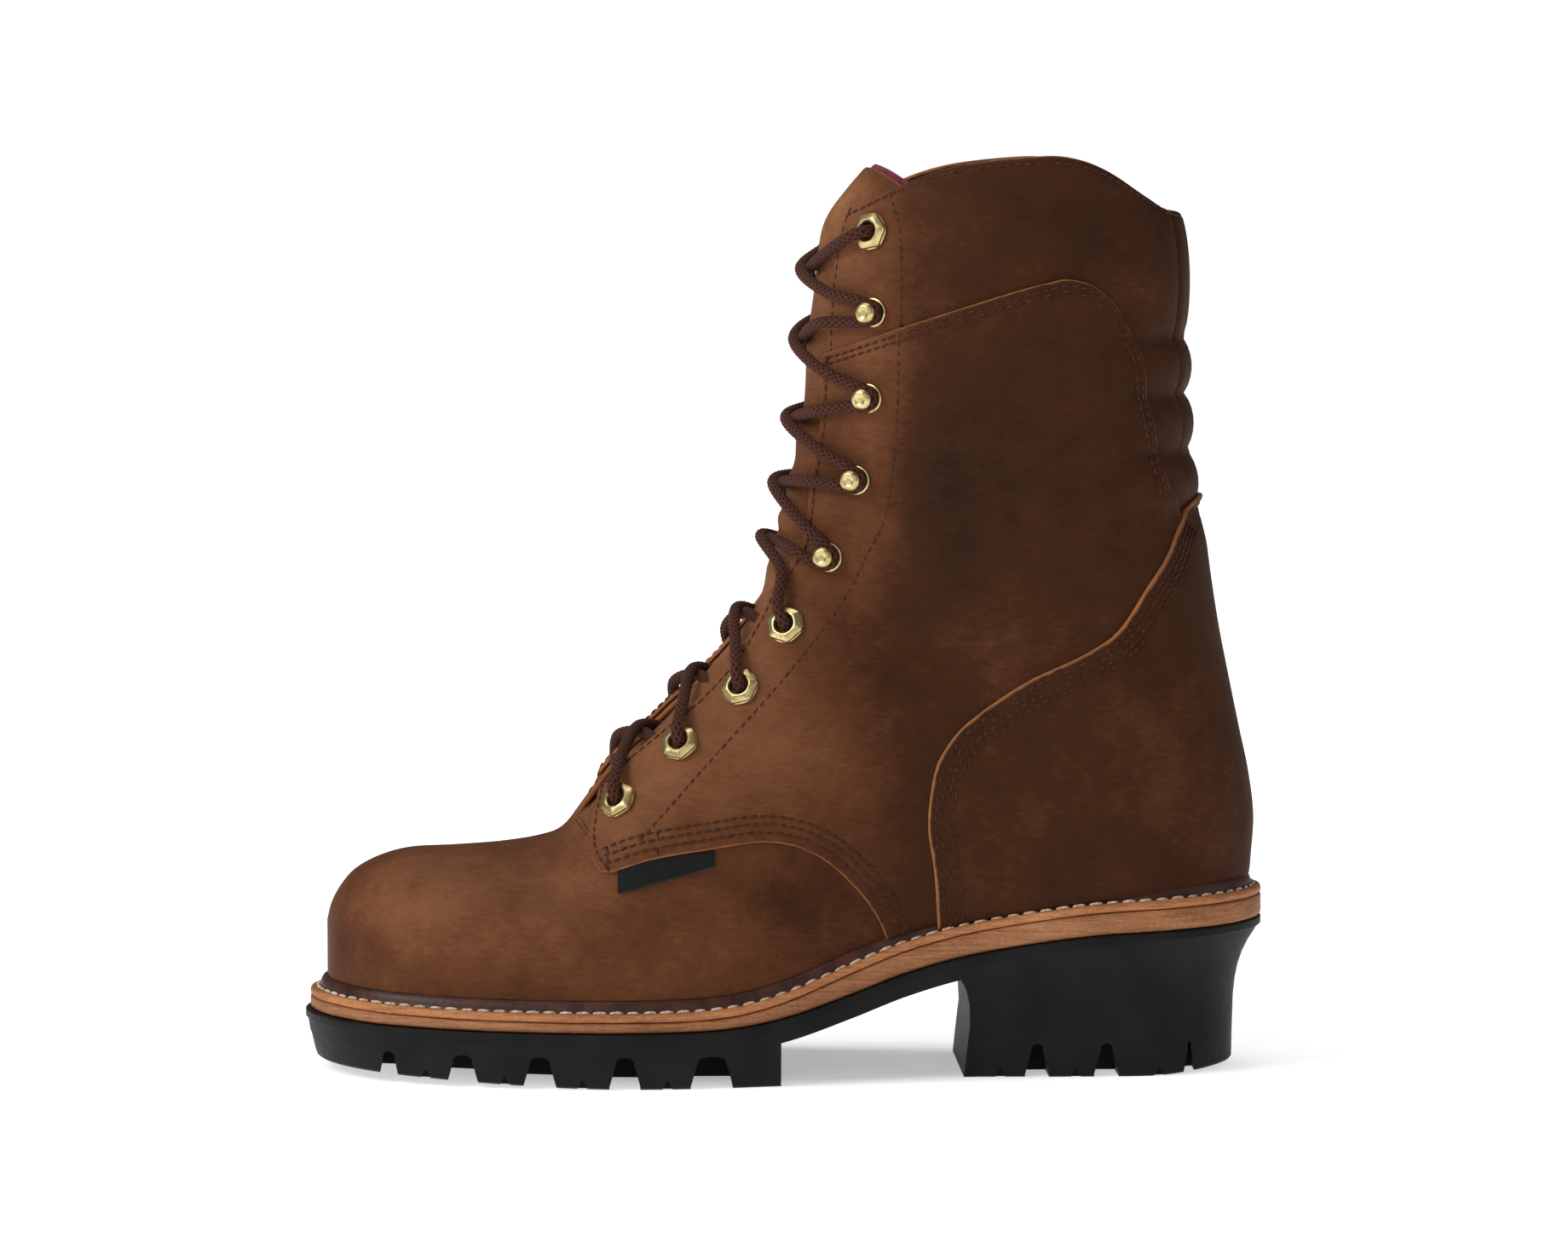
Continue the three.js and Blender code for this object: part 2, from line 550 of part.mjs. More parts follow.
// Gaps between the lugs: where each starts and ends along the last, at the floor and at its root
const foreGaps = table(['from', 'to', 'narrow'], [
  [0.560, 0.605, 0.7], [0.659, 0.692, 0.55], [0.749, 0.784, 0.55], [0.832, 0.866, 0.55],
  [0.918, 0.940, 0.6],
]);
const heelCuts = table(['from', 'to', 'narrow'], [
  [0.055, 0.067, 0.3], [0.139, 0.166, 0.5], [0.215, 0.241, 0.5],
]);
const foreNotches = [0.889, 0.804, 0.721, 0.630];
const heelNotches = [0.095, 0.186, 0.268];
const middleBlocks = [0.575, 0.93];
const notchSize = 3.2;
const heelCore = 15;           // half width of the heel's solid middle

function gapWedge(row, root, yFrom, yTo) {
  const [a, b] = [row.from * lastLength, row.to * lastLength];
  const pinch = (b - a) * (1 - row.narrow) / 2;
  return sideCut([[a, -5], [b, -5], [b, 1], [b - pinch, root], [a + pinch, root], [a, 1]], yFrom, yTo);
}

function notch(share, reach) {
  const x = share * lastLength;
  const floor = treadFloor(x);
  const [rear, front] = [x - notchSize / 2, x + notchSize / 2];
  const outline = [[rear, -5], [front, -5], [front, floor], [x, floor + notchSize], [rear, floor]];
  return [1, -1].map((side) => {
    const edge = side * (featherWidth(x, side) + reach);
    const ends = [edge - side * notchSize, edge + side * 9].sort((a, b) => a - b);
    return sideCut(outline, ...ends);
  });
}

function treadGaps() {
  const cuts = [];
  const root = foreHeight - baseThickness;
  for (const row of foreGaps) {
    for (const side of [1, -1]) {
      const x = (row.from + row.to) / 2 * lastLength;
      const inside = side * (featherWidth(x, side) + weltMargin - lugGapDepth);
      cuts.push(gapWedge(row, root, ...[inside, side * widest].sort((a, b) => a - b)));
    }
  }
  // The middle of the tread is cut into blocks
  const [rear, front] = middleBlocks.map((share) => share * lastLength);
  const deep = 2 * (foreHeight - baseThickness - channelLeft);
  for (const side of [1, -1]) {
    cuts.push(box(front - rear, channelWidth, deep, [(front + rear) / 2, side * channelOut, 0]));
  }
  for (const row of foreGaps) {
    cuts.push(box(channelWidth, 2 * channelOut, deep, [(row.from + row.to) / 2 * lastLength, 0, 0]));
  }
  for (const share of foreNotches) cuts.push(...notch(share, weltMargin - 1.5));
  return cuts;
}

function heelGaps() {
  const cuts = [];
  const root = 11;
  for (const row of heelCuts) {
    for (const side of [1, -1]) {
      cuts.push(gapWedge(row, root, ...[side * heelCore, side * widest].sort((a, b) => a - b)));
    }
  }
  for (const share of heelNotches) cuts.push(...notch(share, -1));
  return cuts;
}

function makeMidsole() {
  return plate([{ margin: weltReach, height: midsoleBase }, { margin: weltReach, height: midsoleTop }]);
}

function makeWelt() {
  const whole = plate([{ margin: weltReach, height: weltBase }, { margin: weltReach, height: weltTop }]);
  const middle = plate([{ margin: -weltSeat, height: (x) => weltBase(x) - 3 },
    { margin: -weltSeat, height: (x) => weltTop(x) + 3 }]);
  return whole.subtract(middle);
}

// The wall is the upper's leather, thicker where the collar is padded
const wallAt = (u, turn) => {
  const padded = smooth((u - 29) / 3) * (1 - smooth((turn - 0.6) / 0.2));
  return -(upperWall + collarPadding * padded);
};

function makeInsole() {
  const low = (x) => seat(x) + upperWall + clearance;
  const margin = -2 * upperWall - clearance;
  const bed = plate([{ margin, height: low }, { margin, height: (x) => low(x) + insoleThickness }]);
  return bed.intersect(form((u, turn) => wallAt(u, turn) - 2 * clearance, insideStations, insideSteps));
}

function makeUpper(outerForm, openThroat) {
  const opening = plate([{ margin: -weltSeat, height: (x) => seat(x) - 8 },
    { margin: -weltSeat, height: (x) => seat(x) + upperWall + 2 }]);
  const collar = smoothLine(collarLine, 26);
  const above = sideCut([...collar, place([0.52, 1.4]), place([-0.07, 1.4])], -widest, widest);
  return outerForm.subtract(form(wallAt, insideStations, insideSteps)).subtract(opening).subtract(above)
    .subtract(openThroat).subtract(belowSeat);
}

// Everything below the line on which the upper stands
const seatLine = [-headroom, ...outlineTurns.map(alongAt), lastLength + headroom].map((x) => [x, seat(x)]);
const belowSeat = sideCut([[-headroom, -headroom], [lastLength + headroom, -headroom],
  ...seatLine.slice().reverse()], -widest, widest);

// Panels laid over the upper: a shell between two larger forms, cut in the side view
const quarterShell = () => form(clearance + panelThickness).subtract(form(clearance));

function makeQuarter(shell, openThroat, side) {
  const front = smoothLine(quarterFront, 6);
  const lower = smoothLine(vampSeam, 16).filter(([x, z]) => z > seat(x) + 0.5);
  const rear = smoothLine(counterEdge.slice(0, -1), 16).filter(([x, z]) => z > seat(x) + 0.5)
    .map(([x, z]) => [x + clearance, z + clearance]);
  const top = smoothLine(quarterTop, 14);
  const foot = [rear[0][0], lower[0][0]].map((x) => [x, seat(x)]);
  const ahead = [place([0.9, 0.2]), place([0.9, 0.5])];
  const outline = [...rear.reverse(), ...foot, ...lower, ...front, ...ahead, ...top.reverse()];
  const slab = side > 0 ? sideCut(outline, 2, widest) : sideCut(outline, -widest, -2);
  return shell.intersect(slab).subtract(openThroat).subtract(belowSeat);
}

function makeCounter() {
  const edge = smoothLine(counterEdge, 16).filter(([x, z]) => z > seat(x) + 0.5);
  const [, topOfBack] = place(counterEdge[counterEdge.length - 1]);
  const outline = [[-headroom, 0], [edge[0][0], 0], ...edge, [-headroom, topOfBack]];
  return form(2 * clearance + counterThickness).subtract(form(2 * clearance))
    .intersect(sideCut(outline, -widest, widest)).subtract(belowSeat);
}

// The tongue lies under the facings and fills the throat. It has the wall's own stations.
const tongueSteps = 3;         // steps of the wall's section that it reaches round from the front
const tongueFoot = 8;
const collarSpan = [0.1, 0.62];
function tongueSheet(depth, thickness, from, steps, edge) {
  const sheet = loft(insideStations.filter((u) => u >= from).map((u) => {
    const row = (extra) => {
      const points = [];
      for (let i = -steps; i <= steps; i += 1) {
        const turn = 1 - Math.abs(i) / insideSteps;
        points.push(surface(u, turn, i < 0 ? 1 : -1, wallAt(u, turn) - extra, false));
      }
      return points;
    };
    return [...row(depth), ...row(depth + thickness).reverse()];
  }), (i) => i % (2 * steps + 1) >= steps, true);
  const [rear, front] = collarSpan;
  const beyond = [place([rear, 0.93]), place([rear, 1.4]), place([front, 1.4])];
  const above = sideCut([...smoothLine(edge, 10), ...beyond], -widest, widest);
  return sheet.subtract(above);
}

const tongueTop = [[0.62, 0.965], [0.425, 0.985], [0.408, 1.0], [0.385, 0.985], [0.345, 0.96]];
const liningTop = tongueTop.map(([s, h]) => [s, h + 0.004]);
const makeTongue = () => tongueSheet(2 * clearance, tongueThickness, tongueFoot, tongueSteps, tongueTop);
const makeTongueLining = () => tongueSheet(3 * clearance + tongueThickness, liningThickness, 14,
  tongueSteps - 1, liningTop);

// Turning a piece made round +Z so that it stands on the surface
function frameAt(x, z, side, offset) {
  const { u, turn } = locate(x, z);
  const normal = normalAt(u, turn, side);
  const origin = surface(u, turn, side, offset);
  const turnTo = new THREE.Quaternion().setFromUnitVectors(new THREE.Vector3(0, 0, 1), normal);
  const matrix = new THREE.Matrix4().makeRotationFromQuaternion(turnTo).setPosition(origin);
  return { u, turn, normal, origin, matrix };
}

const roundSteps = 12;
const circle = (radius, height, corners = roundSteps) => Array.from({ length: corners }, (_, i) => {
  const angle = 2 * Math.PI * i / corners;
  return new THREE.Vector3(radius * Math.cos(angle), radius * Math.sin(angle), height);
});
const hexagon = (across, height) => Array.from({ length: roundSteps }, (_, i) => {
  const angle = 2 * Math.PI * i / roundSteps;
  const radius = i % 2 === 0 ? across / 2 / Math.cos(Math.PI / 6) : across / 2;
  return new THREE.Vector3(radius * Math.cos(angle), radius * Math.sin(angle), height);
});

// Rings joined round and closed on themselves, like a turned washer
function turned(rings) {
  const count = rings[0].length;
  const points = rings.flat();
  const faces = [];
  rings.forEach((_, r) => {
    for (let i = 0; i < count; i += 1) {
      const next = (r + 1) % rings.length;
      const j = (i + 1) % count;
      const [a, b, c, d] = [r * count + i, r * count + j, next * count + j, next * count + i];
      faces.push([a, b, c], [a, c, d]);
    }
  });
  const solid = meshFrom(points, faces);
  return solid.volume() < 0 ? meshFrom(points, faces.map(([a, b, c]) => [a, c, b])) : solid;
}

function eyeletShape(barrelLength) {
  return turned([
    circle(eyeletHole / 2, -barrelLength), circle(eyeletBarrel / 2, -barrelLength),
    circle(eyeletBarrel / 2, 0), hexagon(eyeletNut, 0),
    hexagon(eyeletNut * 0.94, eyeletHeight), circle(eyeletHole / 2, eyeletHeight),
  ]);
}

function hookShape() {
  const [ring, cap] = [hookBase / 2, hookCap / 2];
  const profile = [[0, 0], [ring, 0], [ring, 1], [2, 1.3], [1.8, hookHeight - 2.6],
    [cap, hookHeight - 2], [cap - 0.4, hookHeight - 0.7], [0, hookHeight]];
  const round = new THREE.LatheGeometry(profile.map(([r, h]) => new THREE.Vector2(r, h)), 8);
  round.rotateX(Math.PI / 2);
  return solidOf(round);
}

const moved = (solid, matrix) => solid.transform(matrix.toArray());

// Centres of the brass, as shares of the last's length and of the shaft's height: low to high
const laceRows = table(['kind', 's', 'h'], [
  ['eyelet', 0.678, 0.120],
  ['eyelet', 0.613, 0.196],
  ['eyelet', 0.5475, 0.272],
  ['eyelet', 0.498, 0.357],
  ['hook', 0.450, 0.452],
  ['hook', 0.421, 0.559],
  ['hook', 0.408, 0.672],
  ['hook', 0.4065, 0.788],
  ['eyelet', 0.409, 0.898],
]);

// The quarters end below the two highest rows, which sit on the upper itself
const panelRows = 7;
const outwards = (index) => (index < panelRows ? clearance + panelThickness : 0);

// Where the facing's edge comes, seen from a station: the turn that lies inside the throat
function insideThroat(u, side, inset) {
  let turn = 1;
  while (Math.abs(bare(u, turn, side).y) < throatHalf(u) - inset) turn -= 0.005;
  return turn;
}

// The lace leaves a row on top of the facing, crosses over the tongue and reaches the next row:
// from beneath at an eyelet, from the outside at the last eyelet, round the stem at a hook.
const laceRadius = laceDiameter / 2;
const laceSides = 6;
const laceOutline = new THREE.Shape(circle(laceRadius, 0, laceSides).map((p) => new THREE.Vector2(p.x, p.y)));

function strand(index, side) {
  const rows = [laceRows[index], laceRows[index + 1]];
  const [start, end] = rows.map((row, i) => frameAt(...place([row.s, row.h]), i === 0 ? side : -side,
    outwards(index + i)));
  const between = (t) => mix(start.u, end.u, t);
  const upTheShaft = surface(start.u + 1, start.turn, side, 0).sub(surface(start.u, start.turn, side, 0));
  const onTop = (spot) => spot.origin.clone()
    .addScaledVector(spot.normal, eyeletHeight + laceRadius + 8 * clearance);
  const besideHook = (spot, way) => {
    const edge = surface(spot.u, mix(spot.turn, 1, 0.5), Math.sign(spot.origin.y), outwards(index));
    return spot.origin.clone()
      .addScaledVector(spot.normal, laceRadius + 4 * clearance)
      .addScaledVector(edge.sub(spot.origin).normalize(), hookCap / 2 + laceRadius)
      .addScaledVector(upTheShaft.clone().normalize(), way * (laceRadius + 2 * clearance));
  };
  const onFacing = (u, y, kind) => {
    const lift = kind === 'eyelet' ? eyeletHeight + 5 * clearance : 8 * clearance;
    return surface(u, insideThroat(u, y, -2), y, outwards(index) + laceRadius + lift);
  };
  const path = [
    rows[0].kind === 'eyelet' ? onTop(start) : besideHook(start, 1),
    onFacing(between(0.2), side, rows[0].kind),
    surface(between(0.5), 1, 1, 2 * clearance),
  ];
  if (rows[1].kind === 'hook') path.push(onFacing(between(0.85), -side, 'hook'), besideHook(end, -1));
  else if (index + 2 === laceRows.length) path.push(onFacing(between(0.8), -side, 'eyelet'), onTop(end));
  else {
    const turn = insideThroat(between(0.85), -side, laceRadius + 5 * clearance);
    path.push(surface(between(0.85), turn, -side, laceRadius + 2 * clearance - upperWall));
  }
  const extrudePath = new THREE.CatmullRomCurve3(path);
  return solidOf(new THREE.ExtrudeGeometry(laceOutline, { steps: 5, extrudePath, bevelEnabled: false }));
}
const crossing = (index) => strand(index, 1).add(strand(index, -1));

// The bare woven label tucked under the front corner of the outer quarter
const label = table(['s', 'top', 'bottom'], [
  [0.681, 0.031, 0.003], [0.648, 0.044, 0.015], [0.614, 0.051, 0.026], [0.580, 0.057, 0.038],
]);
function makeLabel() {
  return loft(label.map((row) => {
    const at = (h, offset) => {
      const { u, turn } = locate(...place([row.s, h]));
      return surface(u, turn, 1, offset);
    };
    return [at(row.top, clearance), at(row.top, clearance + labelThickness),
      at(row.bottom, clearance + labelThickness), at(row.bottom, clearance)];
  }));
}

add('outsole', makeOutsole(), rubber);
add('midsole', makeMidsole(), weltLeather);
add('welt', makeWelt(), weltLeather);
add('insole', makeInsole(), board);

const openThroat = throatCut();
const hardware = [];
for (const side of [1, -1]) {
  const tag = side > 0 ? 'outer' : 'inner';
  laceRows.forEach((row, index) => {
    const spot = frameAt(...place([row.s, row.h]), side, outwards(index) + 1.6 * clearance);
    const shape = row.kind === 'eyelet' ? eyeletShape(upperWall + outwards(index)) : hookShape();
    const name = `${row.kind}_${tag}_${index + 1}`;
    hardware.push({ kind: row.kind, name, shape, matrix: spot.matrix });
  });
}
const boreRadius = eyeletBarrel / 2 + clearance;
const bore = loft([circle(boreRadius * 1.08, -14, 8), circle(boreRadius * 1.08, 8, 8)]);
const bored = (solid) => hardware.filter((piece) => piece.kind === 'eyelet')
  .reduce((whole, piece) => whole.subtract(moved(bore, piece.matrix)), solid);

add('upper', bored(makeUpper(form(0), openThroat)), leather);
const shell = quarterShell();
add('quarter_outer', bored(makeQuarter(shell, openThroat, 1)), leather);
add('quarter_inner', bored(makeQuarter(shell, openThroat, -1)), leather);
add('heel_counter', makeCounter(), leather);
add('tongue', makeTongue(), tongueLeather);
add('tongue_lining', makeTongueLining(), liningCloth);
add('side_label', makeLabel(), blackCloth);
for (const piece of hardware) add(piece.name, moved(piece.shape, piece.matrix), brass);
for (let index = 0; index < laceRows.length - 1; index += 1) {
  add(`lace_crossing_${index + 1}`, crossing(index), laceCord);
}

export default group;
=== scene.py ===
# %% [markdown]
# A logger boot is a stack of flat and curved leathers on one last, the foot-shaped form that a
# shoemaker works over. The scene follows that: one function gives the surface of the last, and
# upper, side panels, counter, tongue, stitches, brass and lace all take their places from it.
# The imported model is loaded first, and gives the size that every piece has to keep.

# %% Load the frame
import math

import bmesh
import bpy
import numpy as np
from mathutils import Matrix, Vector
from mathutils.kdtree import KDTree


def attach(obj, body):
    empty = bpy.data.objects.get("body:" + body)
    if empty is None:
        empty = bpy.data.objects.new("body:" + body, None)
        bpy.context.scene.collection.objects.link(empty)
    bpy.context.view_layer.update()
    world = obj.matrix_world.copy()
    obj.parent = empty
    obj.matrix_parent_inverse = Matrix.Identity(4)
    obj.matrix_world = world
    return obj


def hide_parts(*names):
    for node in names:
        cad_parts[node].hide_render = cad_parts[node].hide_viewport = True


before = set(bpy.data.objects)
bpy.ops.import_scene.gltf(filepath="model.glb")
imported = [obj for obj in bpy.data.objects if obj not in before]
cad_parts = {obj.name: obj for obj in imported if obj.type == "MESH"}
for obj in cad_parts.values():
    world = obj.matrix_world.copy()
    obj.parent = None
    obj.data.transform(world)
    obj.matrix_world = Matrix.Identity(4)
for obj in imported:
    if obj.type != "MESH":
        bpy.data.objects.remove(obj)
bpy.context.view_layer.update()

MM = 0.001

# %% [markdown]
# The boot is seen almost square from its outer side, from far away with a long lens, so that
# upright lines stay upright. The camera stands two metres off, at the height of the collar, and
# looks down a few degrees.

# %% Camera
LENS = 139.2
EYE = (0.1748, 1.9988, 0.300)
TURNED_BY = math.radians(2)
AIM_HEIGHT = 0.1459
camera_data = bpy.data.cameras.new("camera")
camera_data.lens = LENS
camera_data.sensor_width = 36
camera_data.clip_end = 20
camera = bpy.data.objects.new("camera", camera_data)
bpy.context.scene.collection.objects.link(camera)
camera.location = EYE
aim = Vector((EYE[0] - 2 * math.tan(TURNED_BY), 0, AIM_HEIGHT))
camera.rotation_euler = (aim - camera.location).to_track_quat("-Z", "Y").to_euler()
bpy.context.scene.camera = camera
print("camera looks down", round(90 - math.degrees(camera.rotation_euler.x), 1), "degrees")

# %% [markdown]
# Every node of every tree is made by one small helper. It takes the node's settings and its
# inputs, and links an input that is given another node's socket.

# %% Making nodes
def put(tree, kind, inputs=None, **settings):
    """A node with its settings, and its inputs linked or set."""
    made = tree.nodes.new(kind)
    for key, value in settings.items():
        setattr(made, key, value)
    for key, value in (inputs or {}).items():
        if isinstance(value, bpy.types.NodeSocket):
            tree.links.new(value, made.inputs[key])
        else:
            made.inputs[key].default_value = value
    return made


# %% [markdown]
# A studio set on white: a pale floor that runs far back, one large soft light from the toe's side and
# above, a broad weak one in front, and weak ones behind. The floor glows so that it stays white; its
# glow is painted weaker near the boot and weaker still under the sole, a painted soft shadow round and
# under the boot on top of the lamps' own shadow. The surround is seen as white, but lights the boot less than
# that, because waxed leather goes grey under too much.

# %% Floor and lights
FLOOR_REACH = 6
# Scale and shift that turn the area under the sole into a unit shape; the floor's glow is lowered inside it, a
# painted shadow.
PAINTED_SHADOW_SHAPE = {1: (6.5, 19, 0), 2: (-0.7, 0, 0)}


def make_floor():
    mesh = bpy.data.meshes.new("floor")
    corners = [(x * FLOOR_REACH, y * FLOOR_REACH, 0) for x, y in ((-1, -1), (1, -1), (1, 1), (-1, 1))]
    mesh.from_pydata(corners, [], [(0, 1, 2, 3)])
    white = bpy.data.materials.new("studio floor")
    white.use_nodes = True
    tree = white.node_tree
    shader = tree.nodes["Principled BSDF"]
    shader.inputs["Base Color"].default_value = (0.82, 0.82, 0.82, 1)
    shader.inputs["Roughness"].default_value = 0.9
    shader.inputs["Specular IOR Level"].default_value = 0.1
    at = put(tree, "ShaderNodeTexCoord").outputs["Object"]
    shaped = put(tree, "ShaderNodeVectorMath", {0: at, **PAINTED_SHADOW_SHAPE}, operation="MULTIPLY_ADD")
    # The glow's colour is painted dimmer near the boot, and its strength lower under the sole: painted shadow.
    for key, vector, limits in (
        ("Emission Color", at, {"From Min": 0.2, "From Max": 0.9, "To Min": 0.66}),
        ("Emission Strength", shaped.outputs["Vector"], {"From Min": 0.6, "From Max": 1.05, "To Min": 0.62}),
    ):
        away = put(tree, "ShaderNodeVectorMath", {0: vector}, operation="LENGTH").outputs["Value"]
        fade = put(tree, "ShaderNodeMapRange", {"Value": away, **limits})
        tree.links.new(fade.outputs["Result"], shader.inputs[key])
    mesh.materials.append(white)
    floor = bpy.data.objects.new("floor", mesh)
    bpy.context.scene.collection.objects.link(floor)


def soft_light(name, place, towards, size, watts):
    data = bpy.data.lights.new(name, "AREA")
    data.shape = "RECTANGLE"
    data.size, data.size_y = size
    data.energy = watts
    light = bpy.data.objects.new(name, data)
    light.location = place
    light.rotation_euler = (Vector(towards) - Vector(place)).to_track_quat("-Z", "Y").to_euler()
    bpy.context.scene.collection.objects.link(light)


make_floor()
middle = (0.1, 0, 0.15)
soft_light("key", (1.5, 0.75, 1.15), middle, (0.9, 0.8), 19)
soft_light("front", (0.2, 2.0, 1.0), middle, (1.6, 1.0), 5)
soft_light("heel side", (-1.3, 0.4, 0.8), middle, (0.6, 1.0), 2)
soft_light("overhead", (0.3, -0.2, 1.6), middle, (1.4, 1.0), 9)
world = bpy.data.worlds.new("surround")
world.use_nodes = True
surround = world.node_tree.nodes["Background"]
surround.inputs["Color"].default_value = (1, 1, 1, 1)
seen = put(world.node_tree, "ShaderNodeLightPath").outputs["Is Camera Ray"]
glow = put(world.node_tree, "ShaderNodeMapRange", {"Value": seen, "To Min": 0.15, "To Max": 1.05})
world.node_tree.links.new(glow.outputs["Result"], surround.inputs["Strength"])
bpy.context.scene.world = world
bpy.context.scene.view_settings.view_transform = "Standard"

# %% [markdown]
# The last is described by named sizes and by short tables of shares of those sizes, the same
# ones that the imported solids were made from. Between two rows of a table a smooth curve is
# drawn. Lengths here are in millimetres, along the last from heel to toe, and are turned to
# metres only when a mesh is made.

# %% Sizes of the boot in millimetres
LAST_LENGTH = 302.5
BALL_WIDTH = 102
SHAFT_HEIGHT = 238.4
HEEL_HEIGHT = 50.4
FORE_HEIGHT = 18.5
TOE_SPRING = 4
HEEL_POINT = 46
CLEARANCE = 0.3
UPPER_WALL = 2.6
COLLAR_PADDING = 3.2
WELT_THICKNESS = 4.9
MIDSOLE_FORE = 3.2
MIDSOLE_HEEL = 7
WELT_MARGIN = 5.6
RUBBER_LIP = 1.6
LIP_HEIGHT = 3
BASE_THICKNESS = 7.6
SIDE_TAPER = 3.4
HEEL_FLARE = 9.5
HEEL_BEVEL = 2.4
HEEL_BREAST = 93.5
SHANK_END = 153.6


def table(names, *rows):
    return {name: np.array([row[i] for row in rows], float) for i, name in enumerate(names.split())}


def follow(rows, knots, where, column):
    """A smooth curve through a table's column, with flat runs kept flat."""
    at, values = rows[knots], rows[column]
    where = np.asarray(where, float)
    i = np.clip(np.searchsorted(at[1:-1], where, side="left"), 0, len(at) - 2)
    before, after = np.maximum(i - 1, 0), np.minimum(i + 2, len(at) - 1)
    span = at[i + 1] - at[i]
    t = np.clip((where - at[i]) / span, 0, 1)
    slope_a = (values[i + 1] - values[before]) / (at[i + 1] - at[before]) * span
    slope_b = (values[after] - values[i]) / (at[after] - at[i]) * span
    return ((2 * t**3 - 3 * t**2 + 1) * values[i] + (t**3 - 2 * t**2 + t) * slope_a
            + (3 * t**2 - 2 * t**3) * values[i + 1] + (t**3 - t**2) * slope_b)


def smooth(t):
    t = np.clip(t, 0, 1)
    return t * t * (3 - 2 * t)


def blend(a, b, t):
    return a + (b - a) * t


# %% Heights of the sole's layers
rise = table(
    "s lift",
    (-0.03, 1), (0.08, 0.955), (0.18, 0.89), (0.30, 0.71), (0.37, 0.54), (0.43, 0.34),
    (0.50, 0.13), (0.56, 0.03), (0.64, 0), (0.80, 0), (0.92, 0.02), (1.03, 0.05),
)


def lift_at(x):
    return follow(rise, "s", np.asarray(x) / LAST_LENGTH, "lift")


def rubber_top(x):
    return blend(FORE_HEIGHT, HEEL_HEIGHT, lift_at(x))


def midsole_base(x):
    return rubber_top(x) + CLEARANCE


def midsole_top(x):
    share = 1 - (1 - np.clip(lift_at(x) / 0.5, 0, 1)) ** 2
    return midsole_base(x) + blend(MIDSOLE_FORE, MIDSOLE_HEEL, share)


def welt_base(x):
    return midsole_top(x) + CLEARANCE


def welt_top(x):
    return welt_base(x) + WELT_THICKNESS


def seat(x):
    return welt_top(x) + CLEARANCE


HEEL_SEAT = float(seat(0))
print("heel seat at", round(HEEL_SEAT, 1), "mm")

# %% Outline of the foot and sections of the upper
feather = table(
    "s outer inner",
    (0, 0, 0), (0.02, 0.175, 0.175), (0.05, 0.262, 0.258), (0.10, 0.320, 0.314),
    (0.20, 0.334, 0.322), (0.30, 0.326, 0.304), (0.40, 0.364, 0.306), (0.50, 0.440, 0.354),
    (0.60, 0.498, 0.436), (0.70, 0.508, 0.490), (0.80, 0.465, 0.485), (0.88, 0.400, 0.442),
    (0.94, 0.308, 0.362), (0.98, 0.172, 0.228), (1, -0.039, 0.039),
)
feather["turn"] = np.arccos(1 - 2 * feather["s"]) / np.pi

